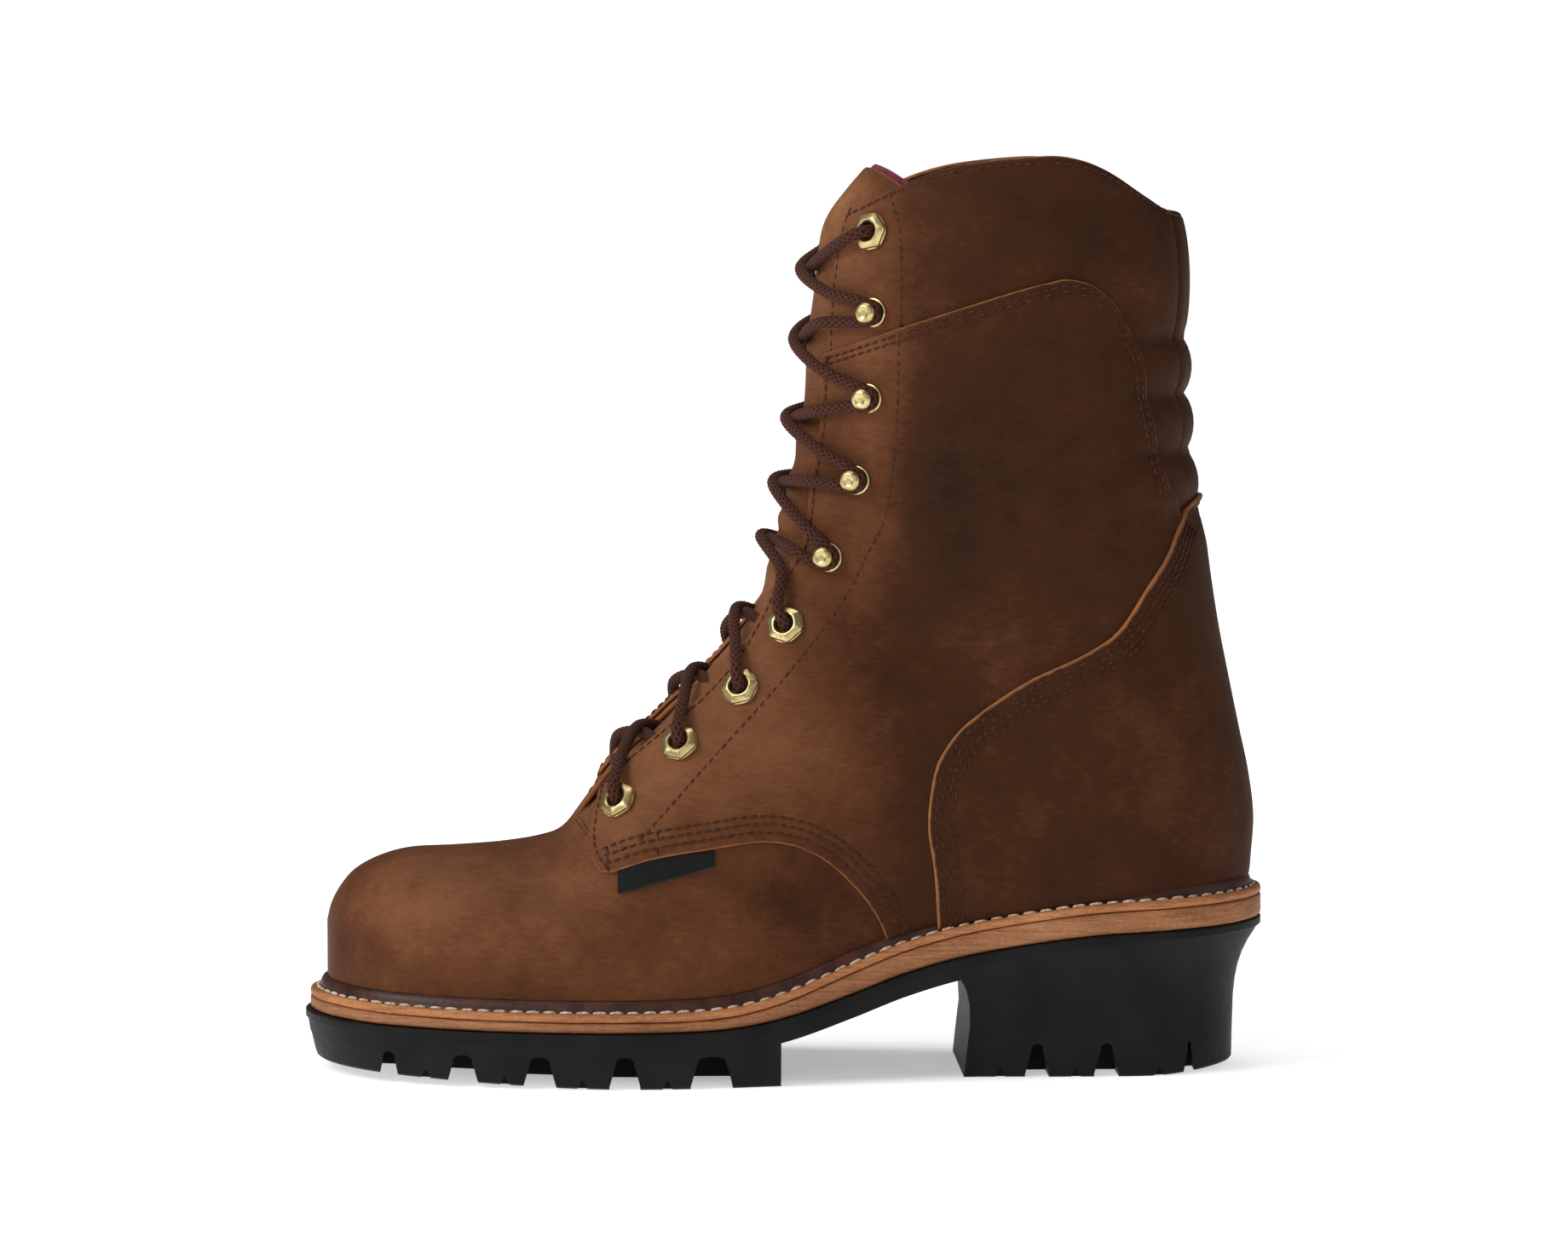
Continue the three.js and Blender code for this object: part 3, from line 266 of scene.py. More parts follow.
sections = table(
    "low high climb top outer inner wide under over",
    (1.000, 1.000, 0, 0.082, -0.039, 0.039, 0.42, 2.0, 2.4),
    (0.995, 0.995, 0, 0.106, 0.080, 0.143, 0.42, 2.0, 2.4),
    (0.985, 0.985, 0, 0.130, 0.160, 0.216, 0.42, 2.0, 2.4),
    (0.969, 0.969, 0, 0.153, 0.238, 0.292, 0.42, 2.0, 2.5),
    (0.942, 0.942, 0, 0.172, 0.324, 0.378, 0.42, 2.0, 2.5),
    (0.909, 0.909, 0, 0.184, 0.385, 0.432, 0.41, 2.0, 2.5),
    (0.863, 0.863, 0, 0.189, 0.436, 0.472, 0.40, 2.0, 2.4),
    (0.810, 0.810, 0, 0.196, 0.476, 0.497, 0.37, 2.1, 2.3),
    (0.764, 0.767, 0, 0.206, 0.499, 0.508, 0.35, 2.1, 2.2),
    (0.724, 0.741, 0, 0.221, 0.512, 0.505, 0.33, 2.2, 2.2),
    (0.681, 0.717, 0, 0.262, 0.520, 0.492, 0.32, 2.2, 2.3),
    (0.638, 0.691, 0, 0.308, 0.517, 0.472, 0.32, 2.2, 2.5),
    (0.592, 0.658, 0, 0.349, 0.504, 0.446, 0.32, 2.1, 2.6),
    (0.532, 0.625, 0, 0.382, 0.474, 0.422, 0.33, 2.0, 2.6),
    (0.460, 0.588, 0, 0.401, 0.436, 0.398, 0.35, 1.9, 2.5),
    (0.374, 0.557, 0, 0.411, 0.408, 0.384, 0.38, 1.9, 2.4),
    (0.281, 0.534, 0, 0.434, 0.389, 0.376, 0.41, 2.0, 2.3),
    (0.185, 0.526, 0, 0.452, 0.382, 0.373, 0.42, 2.1, 2.2),
    (0.096, 0.522, 0, 0.464, 0.378, 0.371, 0.42, 2.1, 2.1),
    (0.043, 0.520, 0, 0.473, 0.377, 0.371, 0.43, 2.1, 2.1),
    (0.013, 0.518, 0, 0.479, 0.377, 0.372, 0.43, 2.1, 2.1),
    (0.000, 0.517, 0, 0.487, 0.378, 0.373, 0.43, 2.1, 2.1),
    (-0.004, 0.515, 0.038, 0.500, 0.380, 0.376, 0.44, 2.1, 2.0),
    (-0.006, 0.512, 0.088, 0.516, 0.383, 0.379, 0.44, 2.1, 2.0),
    (0.000, 0.508, 0.147, 0.533, 0.388, 0.385, 0.44, 2.1, 2.0),
    (0.010, 0.505, 0.206, 0.554, 0.392, 0.389, 0.44, 2.1, 2.0),
    (0.021, 0.501, 0.273, 0.575, 0.398, 0.395, 0.45, 2.1, 2.0),
    (0.033, 0.497, 0.349, 0.600, 0.408, 0.404, 0.45, 2.1, 1.95),
    (0.042, 0.493, 0.420, 0.630, 0.419, 0.415, 0.45, 2.1, 1.9),
    (0.049, 0.490, 0.487, 0.659, 0.431, 0.426, 0.46, 2.1, 1.85),
    (0.060, 0.485, 0.596, 0.714, 0.449, 0.443, 0.46, 2.1, 1.85),
    (0.064, 0.4815, 0.700, 0.775, 0.462, 0.456, 0.46, 2.1, 1.85),
    (0.068, 0.477, 0.800, 0.835, 0.471, 0.465, 0.46, 2.1, 1.85),
    (0.0695, 0.466, 0.900, 0.910, 0.476, 0.469, 0.46, 2.1, 1.85),
    (0.075, 0.445, 0.965, 0.968, 0.477, 0.470, 0.46, 2.1, 1.85),
    (0.083, 0.4165, 1.036, 1.032, 0.477, 0.470, 0.46, 2.1, 1.85),
)
sections["u"] = np.arange(len(sections["low"]), dtype=float)
LAST_SECTION = len(sections["low"]) - 1
HEEL_ROW = 21
TRIM = 1.5
WIDEST_ROOT = 0.985
NOSE_LEAN = -0.039 * BALL_WIDTH


def feather_width(x, side):
    turn = np.arccos(1 - 2 * np.clip(np.asarray(x) / LAST_LENGTH, 0, 1)) / np.pi
    outer = follow(feather, "turn", turn, "outer")
    inner = follow(feather, "turn", turn, "inner")
    return BALL_WIDTH * np.where(np.asarray(side) > 0, outer, inner)


# %% [markdown]
# A point of the last is named by two numbers. u picks the section, from the toe (0) through the
# heel (21) to the collar (35). w walks round it: 0 is the back or the outer edge of the sole, 1
# the front or top, and 2 the back again or the inner edge. Everything that lies on the boot is
# drawn in u and w, or in the side view, and lands on this surface.

# %% The last as a function
def split_way(w):
    """Which side of the boot a w lies on, and how far round that side."""
    w = np.where(w < 0, w + 2, np.where(w > 2, w - 2, w))
    return np.where(w <= 1, 1.0, -1.0), np.where(w <= 1, w, 2 - w)


def bare(u, w):
    u = np.clip(np.asarray(u, float), 0, LAST_SECTION)
    side, turn = split_way(np.asarray(w, float))
    get = lambda name: follow(sections, "u", u, name)
    low_x, high_x = get("low") * LAST_LENGTH, get("high") * LAST_LENGTH
    base = seat(low_x)
    low_z = base + get("climb") * SHAFT_HEIGHT - np.where(u <= HEEL_ROW, TRIM, 0)
    high_z = base + get("top") * SHAFT_HEIGHT
    lean = NOSE_LEAN * smooth((low_x / LAST_LENGTH - 0.7) / 0.3)
    half = np.where(side > 0, get("outer") * BALL_WIDTH - lean, get("inner") * BALL_WIDTH + lean)
    foot = np.where(u < HEEL_ROW, feather_width(low_x, side) - side * lean, 0)
    root = np.where(half > 0.01, np.clip(foot / np.maximum(half, 0.01), 0, WIDEST_ROOT), WIDEST_ROOT)
    lower = turn < 0.5
    square = 2 / np.where(lower, get("under"), get("over"))
    start = np.where(lower, np.arcsin(root ** (1 / square)), 0)
    angle = np.where(lower, blend(start, np.pi / 2, 2 * turn), turn * np.pi)
    away = np.abs(np.cos(angle)) ** square
    width = np.maximum(0, np.sin(angle)) ** square
    wide = get("wide")
    share = np.where(lower, wide * (1 - away / np.cos(start) ** square), wide + (1 - wide) * away)
    return np.stack([blend(low_x, high_x, share), lean + side * half * width,
                     blend(low_z, high_z, share)], axis=-1)


def normal(u, w, du=0.04, dw=0.006):
    """Outward normal of the last. Below the heel row the two ends of w don't meet."""
    u, w = np.broadcast_arrays(np.asarray(u, float), np.asarray(w, float))
    closed = u >= HEEL_ROW
    here = np.where(closed, w, np.clip(w, dw, 2 - dw - 1e-6))
    at = np.clip(u, du, LAST_SECTION - du)
    along = bare(at + du, here) - bare(at - du, here)
    across = bare(at, here + dw) - bare(at, here - dw)
    out = np.cross(along, across)
    return out / np.maximum(np.linalg.norm(out, axis=-1, keepdims=True), 1e-9)


# %% [markdown]
# Padding swells three rolls and the collar at the back of the shaft. Soft creases come on top:
# each is one line in the side view, with a depth and a width, laid where the boot folds when it
# is worn or boxed. Every layer of leather takes the same padding and creases, so they nest.

# %% Padding and creases
ROLL_COUNT = 3
ROLL_PITCH = 18.8
ROLL_RISE = 3.2
ROLL_TOP = 179.5
COLLAR_RISE = 3.6
COLLAR_DEPTH = 44

creases = table(
    "s0 h0 s1 h1 depth width",
    (0.300, 0.330, 0.500, 0.400, 0.45, 9),
    (0.250, 0.420, 0.440, 0.500, -0.35, 12),
    (0.420, 0.250, 0.560, 0.200, 0.35, 10),
    (0.160, 0.560, 0.360, 0.600, 0.30, 14),
    (0.560, 0.060, 0.680, 0.150, 0.25, 8),
    (0.700, 0.140, 0.740, 0.020, 0.22, 9),
)


def place(shares):
    """Side-view shares (along the last, up the shaft) to millimetres."""
    shares = np.asarray(shares, float)
    return np.stack([shares[:, 0] * LAST_LENGTH, HEEL_SEAT + shares[:, 1] * SHAFT_HEIGHT], -1)


def swell(point, w):
    """Padding and creases, in millimetres along the normal."""
    turn = split_way(w)[1]
    height = point[..., 2] - HEEL_SEAT
    at_back = 1 - smooth((turn - 0.16) / 0.2)
    roll_foot = ROLL_TOP - ROLL_COUNT * ROLL_PITCH
    phase = (height - roll_foot) / ROLL_PITCH
    rolls = ROLL_RISE * np.abs(np.sin(np.pi * phase)) ** 0.7
    share = np.clip((height - ROLL_TOP) / COLLAR_DEPTH, 0, 1)
    collar = COLLAR_RISE * np.maximum(0, np.sin(np.pi * share ** 0.8)) ** 0.6
    puff = np.where((height > roll_foot) & (height < ROLL_TOP), rolls, 0)
    puff = np.where(height >= ROLL_TOP, collar, puff) * at_back
    for s0, h0, s1, h1, depth, width in zip(*creases.values()):
        a, b = place([(s0, h0), (s1, h1)])
        run = b - a
        spot = point[..., [0, 2]] - a
        t = np.clip((spot @ run) / (run @ run), 0, 1)
        off = np.linalg.norm(spot - t[..., None] * run, axis=-1)
        puff = puff - depth * np.exp(-(off / width) ** 2)
    return puff


def surface(u, w, offset=0.0):
    """Points on the last moved out by an offset, in millimetres, in the last's own frame."""
    u, w = np.broadcast_arrays(np.asarray(u, float), np.asarray(w, float))
    point = bare(u, w)
    return point + normal(u, w) * (np.asarray(offset) + swell(point, w))[..., None]


def to_world(points):
    """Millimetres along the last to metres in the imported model's frame."""
    return (np.asarray(points) - np.array([HEEL_POINT, 0, 0])) * MM


def mesh_of(name, points, faces, edges=()):
    """A mesh of points in millimetres along the last."""
    mesh = bpy.data.meshes.new(name)
    mesh.from_pydata(to_world(points).tolist(), list(edges), faces)
    return mesh


check = to_world(surface(np.linspace(0, 35, 200)[:, None], np.linspace(0, 1.99, 100)))
print("last spans", np.round(check.reshape(-1, 3).min(0), 3), np.round(check.reshape(-1, 3).max(0), 3))

# %% [markdown]
# Panel edges and stitch lines are drawn in the side view, as a pattern cutter draws them. To put
# them on the boot, a side-view point has to be found on the last. A coarse net of the last is
# searched for the nearest point, and a few steps of Newton's method bring it the rest of the way.

# %% From the side view to the last
net_u, net_t = np.meshgrid(np.linspace(0, LAST_SECTION, 281), np.linspace(0, 1, 81), indexing="ij")
net_points = bare(net_u, net_t)
net_tree = KDTree(net_u.size)
for index, (x, z) in enumerate(net_points[..., [0, 2]].reshape(-1, 2)):
    net_tree.insert((x, z, 0), index)
net_tree.balance()


def locate(x, z, side=1):
    """(u, w) of side-view points, on the outer (1) or the inner (-1) side."""
    x, z = np.broadcast_arrays(np.atleast_1d(np.asarray(x, float)), np.atleast_1d(np.asarray(z, float)))
    found = [net_tree.find((a, b, 0))[1] for a, b in zip(x, z)]
    u, t = net_u.ravel()[found].copy(), net_t.ravel()[found].copy()
    for _ in range(8):
        here = bare(u, t)[..., [0, 2]]
        miss = np.stack([x, z], -1) - here
        step = 0.01
        by_u = (bare(np.minimum(u + step, LAST_SECTION), t)[..., [0, 2]] - here) / step
        by_t = (bare(u, np.minimum(t + step, 1))[..., [0, 2]] - here) / step
        det = by_u[:, 0] * by_t[:, 1] - by_u[:, 1] * by_t[:, 0]
        det = np.where(np.abs(det) < 1e-3, 1e-3, det)
        du = (miss[:, 0] * by_t[:, 1] - miss[:, 1] * by_t[:, 0]) / det
        dt = (by_u[:, 0] * miss[:, 1] - by_u[:, 1] * miss[:, 0]) / det
        u = np.clip(u + np.clip(du, -0.3, 0.3), 0, LAST_SECTION)
        t = np.clip(t + np.clip(dt, -0.03, 0.03), 0, 0.995)
    return u, (t if side > 0 else 2 - t)


def spline(points, spacing=1.5):
    """A Catmull-Rom curve through points, resampled to an even spacing."""
    points = np.asarray(points, float)
    ends = np.vstack([2 * points[0] - points[1], points, 2 * points[-1] - points[-2]])
    out = []
    for a, b, c, d in zip(ends[:-3], ends[1:-2], ends[2:-1], ends[3:]):
        t = np.linspace(0, 1, 24, endpoint=False)[:, None]
        out.append(0.5 * (2 * b + (c - a) * t + (2 * a - 5 * b + 4 * c - d) * t**2
                          + (3 * b - a - 3 * c + d) * t**3))
    return even(np.vstack([*out, points[-1:]]), spacing)


def run_along(line):
    """How far each point of a line lies from its start."""
    return np.concatenate([[0], np.cumsum(np.linalg.norm(np.diff(line, axis=0), axis=1))])


def even(points, spacing):
    run = run_along(points)
    count = max(2, int(round(run[-1] / spacing)) + 1)
    goal = np.linspace(0, run[-1], count)
    return np.stack([np.interp(goal, run, points[:, k]) for k in range(points.shape[1])], -1)


# %% Pattern lines in the side view, as shares of length and shaft height
COLLAR_LINE = [(-0.12, 0.905), (-0.07, 0.914), (0.073, 0.926), (0.106, 0.944), (0.155, 0.981),
               (0.193, 0.997), (0.231, 1), (0.316, 0.990), (0.374, 0.966), (0.435, 0.927), (0.52, 0.87)]
VAMP_SEAM = [(0.386, -0.10), (0.397, -0.055), (0.411, -0.022), (0.430, 0.008), (0.457, 0.040),
             (0.489, 0.061), (0.528, 0.069), (0.582, 0.061), (0.645, 0.048), (0.688, 0.030)]
QUARTER_FRONT = [(0.700, 0.030), (0.708, 0.045), (0.711, 0.066), (0.707, 0.095), (0.701, 0.125), (0.70, 0.16)]
COUNTER_EDGE = [(0.336, -0.10), (0.342, 0.02), (0.349, 0.085), (0.345, 0.143), (0.337, 0.178),
                (0.319, 0.213), (0.292, 0.243), (0.241, 0.287), (0.183, 0.322), (0.146, 0.354),
                (0.116, 0.411), (0.094, 0.453), (0.076, 0.503)]
COUNTER_TIP = [(0.050, 0.534)]
QUARTER_TOP = [(0.097, 0.551), (0.109, 0.618), (0.119, 0.689), (0.124, 0.729), (0.136, 0.763),
               (0.152, 0.800), (0.175, 0.825), (0.200, 0.834), (0.218, 0.831), (0.271, 0.813),
               (0.377, 0.768), (0.430, 0.743), (0.56, 0.68)]
FACING_REAR = [(0.389, 0.947), (0.379, 0.892), (0.378, 0.790), (0.379, 0.688), (0.381, 0.620),
               (0.387, 0.544), (0.395, 0.497), (0.411, 0.457), (0.430, 0.407), (0.463, 0.347),
               (0.519, 0.262), (0.587, 0.170), (0.656, 0.075)]

throat = table(
    "u half",
    (9.35, 1), (9.45, 6.5), (9.65, 10), (10, 12.5), (11, 14.5), (13, 16.5), (16, 17.5), (20, 18.2),
    (25, 19), (30, 20), (33, 20.5), (35, 21),
)
THROAT_FOOT = 9.35
wider = table("u more", (9.5, 0), (10.2, 6), (11, 9), (13.5, 8.5), (16.5, 0))


def throat_half(u, outer=False):
    """Half the throat's width. At its foot the outer facing stands further back."""
    return follow(throat, "u", u, "half") + follow(wider, "u", u, "more") * outer


front_u = np.linspace(0, LAST_SECTION, 1400)
front_line = bare(front_u, np.ones_like(front_u))
front_run = run_along(front_line)


def throat_outline():
    """The throat laid flat: how far up the front, and half its width."""
    u = np.concatenate([np.linspace(THROAT_FOOT, 10, 14), np.linspace(10.3, LAST_SECTION, 60)])
    up = np.interp(u, front_u, front_run)
    half = throat_half(u)
    foot = np.array([[up[0] - 0.6, 0.0]])
    return np.vstack([foot, np.stack([up, half], -1), [[up[-1] + 60, half[-1]], [up[-1] + 60, 0]]])


throat_run = front_run[-1] - np.interp(THROAT_FOOT, front_u, front_run)
print("throat runs", round(float(throat_run)), "mm up the front")

# %% [markdown]
# Each leather panel starts as a fine net in u and w. The net is cut along its pattern lines, so
# that faces end exactly on the panel's edge, and along a few lines inside the edge, where the
# leather rounds off and where the stitches pull it down. A field says how far each point lies
# from such a line, measured over the leather.

# %% Distances over the leather
def inside(points, outline):
    x, z = points[:, 0], points[:, 1]
    result = np.zeros(len(points), bool)
    for (x0, z0), (x1, z1) in zip(outline, np.roll(outline, -1, axis=0)):
        if z0 != z1:
            crosses = (z0 > z) != (z1 > z)
            result ^= crosses & (x < (x1 - x0) * (z - z0) / (z1 - z0) + x0)
    return result


def nearest(points, line):
    """Distance to a line of points, and the direction away from it."""
    best = np.full(len(points), 1e9)
    way = np.zeros((len(points), 2))
    for a, b in zip(line[:-1], line[1:]):
        run = b - a
        t = np.clip(((points - a) @ run) / (run @ run), 0, 1)
        off = points - a - t[:, None] * run
        gap = np.hypot(off[:, 0], off[:, 1])
        closer = gap < best
        best[closer] = gap[closer]
        way[closer] = off[closer]
    return best, way / np.maximum(best, 1e-9)[:, None]


def stretch(lean):
    """How much a side-view length shrinks against the leather that it is measured on."""
    return np.sqrt(np.maximum(1 - lean**2, 0.15))


def side_field(outline, line=None):
    """Distance inside a closed side-view outline, from all of it or from one line of it."""
    outline = np.asarray(outline, float)
    line = np.vstack([outline, outline[:1]]) if line is None else np.asarray(line, float)

    def field(spot):
        flat = spot["point"][:, [0, 2]]
        gap, way = nearest(flat, line)
        lean = np.sum(spot["out"][:, [0, 2]] * way, axis=1)
        return np.where(inside(flat, outline), gap, -gap) / stretch(lean)
    return field


THROAT = throat_outline()


def throat_field(spot):
    across = spot["point"][:, 1]
    across = np.where(across > 0, np.maximum(across - follow(wider, "u", spot["u"], "more"), 0.3), -across)
    flat = np.stack([np.interp(spot["u"], front_u, front_run), across], -1)
    gap, way = nearest(flat, THROAT[:-1])
    within = inside(flat, THROAT) & (split_way(spot["w"])[1] > 0.5)
    return np.where(within, -gap, gap) / stretch(spot["out"][:, 1] * way[:, 1])


collar_curve = spline(place(COLLAR_LINE), 2.5)


def collar_field(spot):
    """Positive below the collar's top line."""
    flat = spot["point"][:, [0, 2]]
    gap, way = nearest(flat, collar_curve)
    top = np.interp(flat[:, 0], collar_curve[:, 0], collar_curve[:, 1])
    lean = np.sum(spot["out"][:, [0, 2]] * way, axis=1)
    return np.where(flat[:, 1] < top, gap, -gap) / stretch(lean)


# %% Nets and cuts
def stations_between(low, high, spacing):
    """Values of u whose sections lie about one spacing apart along the side of the boot."""
    u = np.linspace(low, high, 900)
    run = run_along(bare(u, np.full_like(u, 0.35)))
    rows = np.interp(np.linspace(0, run[-1], int(run[-1] / spacing) + 2), run, u)
    if low < HEEL_ROW < high:
        rows = np.unique(np.append(rows[np.abs(rows - HEEL_ROW) > 0.05], HEEL_ROW))
    return rows


def net(us, ws, fields, round_back=False):
    """Points (u, w and one column a field) and faces. A full net closes behind the heel row."""
    u, w = (grid.ravel() for grid in np.meshgrid(us, ws, indexing="ij"))
    spot = {"u": u, "w": w, "point": bare(u, w), "out": normal(u, w)}
    points = np.stack([u, w] + [field(spot) for field in fields], -1)
    index = np.arange(len(points)).reshape(len(us), len(ws))
    if round_back:
        index[us >= HEEL_ROW, -1] = index[us >= HEEL_ROW, 0]
    corners = np.stack([index[:-1, :-1], index[1:, :-1], index[1:, 1:], index[:-1, 1:]], -1).reshape(-1, 4)
    return points, [tuple(dict.fromkeys(face)) for face in corners.tolist()]


def between(a, b, t):
    """The columns of a point between two points, the short way round the back."""
    made = [p + (q - p) * t for p, q in zip(a, b)]
    if abs(a[1] - b[1]) > 1:
        wa, wb = (a[1] + 2, b[1]) if a[1] < b[1] else (a[1], b[1] + 2)
        w = wa + (wb - wa) * t
        made[1] = w - 2 if w > 2 else w
    return made


def cut(points, faces, values, level=0.0, keep_below=True, snap=0.1):
    """Cuts faces along the line where values equal level, and may drop what lies below it."""
    values = np.where(np.abs(values - level) < snap, 0, values - level)
    sign = np.sign(values).astype(int).tolist()
    height = values.tolist()
    spots = points.tolist()
    fresh, kept = {}, []
    for face in faces:
        signs = [sign[v] for v in face]
        if min(signs) >= 0 or (keep_below and max(signs) <= 0):
            kept.append(face)
            continue
        above, below = [], []
        for a, b in zip(face, face[1:] + face[:1]):
            if sign[a] >= 0:
                above.append(a)
            if sign[a] <= 0:
                below.append(a)
            if sign[a] * sign[b] < 0:
                key = (a, b) if a < b else (b, a)
                if key not in fresh:
                    first, second = height[key[0]], height[key[1]]
                    spots.append(between(spots[key[0]], spots[key[1]], first / (first - second)))
                    fresh[key] = len(spots) - 1
                above.append(fresh[key])
                below.append(fresh[key])
        if max(signs) > 0 and len(above) > 2:
            kept.append(tuple(above))
        if keep_below and len(below) > 2:
            kept.append(tuple(below))
    return np.array(spots), kept


def trimmed(points, faces, edges, rows):
    """Trims a net to where the edge columns are positive, adds a column that holds the least of
    them, and then cuts the net along rows: pairs of a column and its levels."""
    for column in edges:
        points, faces = cut(points, faces, points[:, column], keep_below=False)
    used = sorted({v for face in faces for v in face})
    lookup = {v: i for i, v in enumerate(used)}
    faces = [tuple(lookup[v] for v in face) for face in faces]
    points = points[used]
    points = np.hstack([points, points[:, edges].min(axis=1, keepdims=True)])
    for column, levels in rows:
        for level in levels:
            points, faces = cut(points, faces, points[:, column], level)
    return points, faces


# %% [markdown]
# A cut net becomes a shell: one copy of it moved out, one moved in, and a wall along the open
# edges. The outer copy is lowered towards the edge along a quarter circle, which gives the soft
# corner of real leather, and along each row of stitches, which pull the leather down. Two
# attributes stay on the mesh for the materials: the distance from the edge, and the tone, which holds the
# leather's own tone together with painted shade and light.

# %% Tone of the leather, with painted shade and light
# Waxed pull-up leather turns light where it is stretched or handled and stays dark elsewhere, and the
# patches hold that. They also hold painted light and shade: the leather is painted darker towards the heel and
# the collar, away from the key light, and lighter on the facings, which face it. Each row is a soft patch in
# the side view: its place, its reach and how much it lightens.
tone_and_shade_patches = table(
    "x z along up tone",
    (272, 60, 26, 14, 0.08), (290, 44, 9, 9, -0.10), (262, 46, 26, 16, 0.06), (228, 52, 22, 12, 0.03),
    (222, 66, 18, 6, 0.07), (122, 205, 12, 44, 0.24), (126, 268, 12, 20, 0.12), (24, 152, 20, 26, -0.07),
    (200, 52, 14, 12, -0.06), (178, 46, 18, 8, 0.03), (150, 58, 16, 14, -0.12),
    (214, 84, 14, 8, 0.08), (196, 104, 26, 26, 0.15), (170, 140, 20, 34, 0.13), (150, 175, 16, 30, 0.10),
    (140, 262, 18, 36, 0.17), (140, 105, 26, 18, 0.09), (105, 120, 34, 30, -0.02), (100, 195, 30, 36, -0.14),
    (62, 215, 26, 30, -0.06), (45, 275, 40, 22, -0.06), (14, 270, 14, 24, -0.06),
    (20, 200, 24, 30, -0.06), (40, 120, 26, 26, 0.03), (48, 80, 22, 18, -0.03), (70, 150, 24, 18, -0.02),
    (131, 290, 12, 16, 0.18), (10, 70, 14, 14, 0.02),
)


def tone_and_shade_at(points):
    x, z = points[:, 0], points[:, 2]
    # Darker towards the heel: painted shade on the side away from the key light, together with the leather's
    # own darker tone.
    tone = -0.15 * smooth((165 - x) / 60)
    for x_mid, z_mid, along, up, lighter in zip(*tone_and_shade_patches.values()):
        tone += lighter * np.exp(-(((x - x_mid) / along) ** 2 + ((z - z_mid) / up) ** 2))
    return tone


# %% Shells of leather
def shell(name, points, faces, outer, inner, edge, lined_from=None, bent=None):
    """A closed mesh between two offsets over the net. From a distance inside its edge on, its
    inner face may take the second material, and its points may be bent afterwards."""
    u, w = points[:, 0], points[:, 1]
    count = len(points)
    flat = bare(u, w)
    out = normal(u, w)
    base = flat + out * swell(flat, w)[:, None]
    spots = np.vstack([base + out * np.reshape(outer, (-1, 1)), base + out * np.reshape(inner, (-1, 1))])
    if bent:
        spots = bent(spots)
    sides = set()
    for face in faces:
        sides.update(zip(face, face[1:] + face[:1]))
    walls = [(a, a + count, b + count, b) for a, b in sides if (b, a) not in sides]
    both = faces + [tuple(v + count for v in reversed(face)) for face in faces] + walls
    mesh = mesh_of(name, spots, both)
    slots = np.zeros(len(both), np.int32)
    if lined_from is not None:
        slots[len(faces):2 * len(faces)] = [min(edge[v] for v in face) > lined_from for face in faces]
    mesh.polygons.foreach_set("material_index", slots)
    store(mesh, "edge", np.concatenate([edge, edge]))
    # The tone stored here includes painted shade and light.
    store(mesh, "tone", tone_and_shade_at(spots))
    work = bmesh.new()
    work.from_mesh(mesh)
    bmesh.ops.remove_doubles(work, verts=work.verts, dist=0.02 * MM)
    work.to_mesh(mesh)
    work.free()
    return keep(name, mesh)


def store(mesh, name, values):
    mesh.attributes.new(name, "FLOAT", "POINT").data.foreach_set("value", values)


def keep(name, mesh, sharp=None):
    """An object at the origin for a finished mesh, with smooth faces."""
    mesh.polygons.foreach_set("use_smooth", np.ones(len(mesh.polygons), bool))
    if sharp:
        mesh.set_sharp_from_angle(angle=math.radians(sharp))
    piece = bpy.data.objects.new(name, mesh)
    bpy.context.scene.collection.objects.link(piece)
    print(name, len(mesh.polygons), "faces")
    return piece


def rounded(distance_in, radius):
    """Height of a rounded edge as a share, from 0 at the edge to 1 inside."""
    return np.sqrt(np.maximum(0, 1 - (1 - np.clip(distance_in / radius, 0, 1)) ** 2))


def pulled_down(distances, rows, depth=0.3, width=0.55):
    return sum(depth * np.exp(-((distances - row) / width) ** 2) for row in rows)


def beside(rows, reach=0.75):
    """Levels on and beside each row of stitches."""
    return [row + step for row in rows for step in (-reach, 0, reach)]


# %% [markdown]
# The upper is the vamp over the toes and the shaft with its padded collar, here as one skin with
# a real wall. It is trimmed at the throat, where the facings end, and along the collar. The
# collar's rim is a turned edge, so both faces curve into it over half the wall's thickness.

# %% Upper
CELL = 2.3
COLLAR_ROW = 2.2
full_ws = np.concatenate([np.linspace(0, 1, 69), np.linspace(1, 2, 69)[1:]])


def wall_at(u, w):
    turn = split_way(w)[1]
    padded = smooth((u - 29) / 3) * (1 - smooth((turn - 0.6) / 0.2))
    return UPPER_WALL + COLLAR_PADDING * padded


upper_net = net(stations_between(0, LAST_SECTION, CELL), full_ws, [throat_field, collar_field], True)
upper_points, upper_faces = trimmed(*upper_net, [2, 3], [
    (4, (0.35, 1.1)), (3, beside((COLLAR_ROW,))), (3, (5.5,)),
])
wall = wall_at(upper_points[:, 0], upper_points[:, 1])
height = rounded(upper_points[:, 4], np.minimum(wall / 2, 2.6)) * wall / 2
dip = pulled_down(upper_points[:, 3], (COLLAR_ROW,), 0.25)
upper = shell("upper_leather", upper_points, upper_faces, -wall / 2 + height - dip, -wall / 2 - height,
              upper_points[:, 4], lined_from=5.4)

# %% [markdown]
# The quarters are the two big side panels. They lie over the vamp in front and under the counter
# behind, and carry the facings with the eyelets and hooks. Their lower front edge has three rows
# of stitches, their top edge two.

# %% Quarters
PANEL_BASE = 0.12
PANEL_TOP = CLEARANCE + 1.5
VAMP_ROWS = (3.2, 5.9, 8.4)
TOP_ROWS = (2.0, 3.9)
FACING_ROW = 2.2
UNDER_COUNTER = 3.0

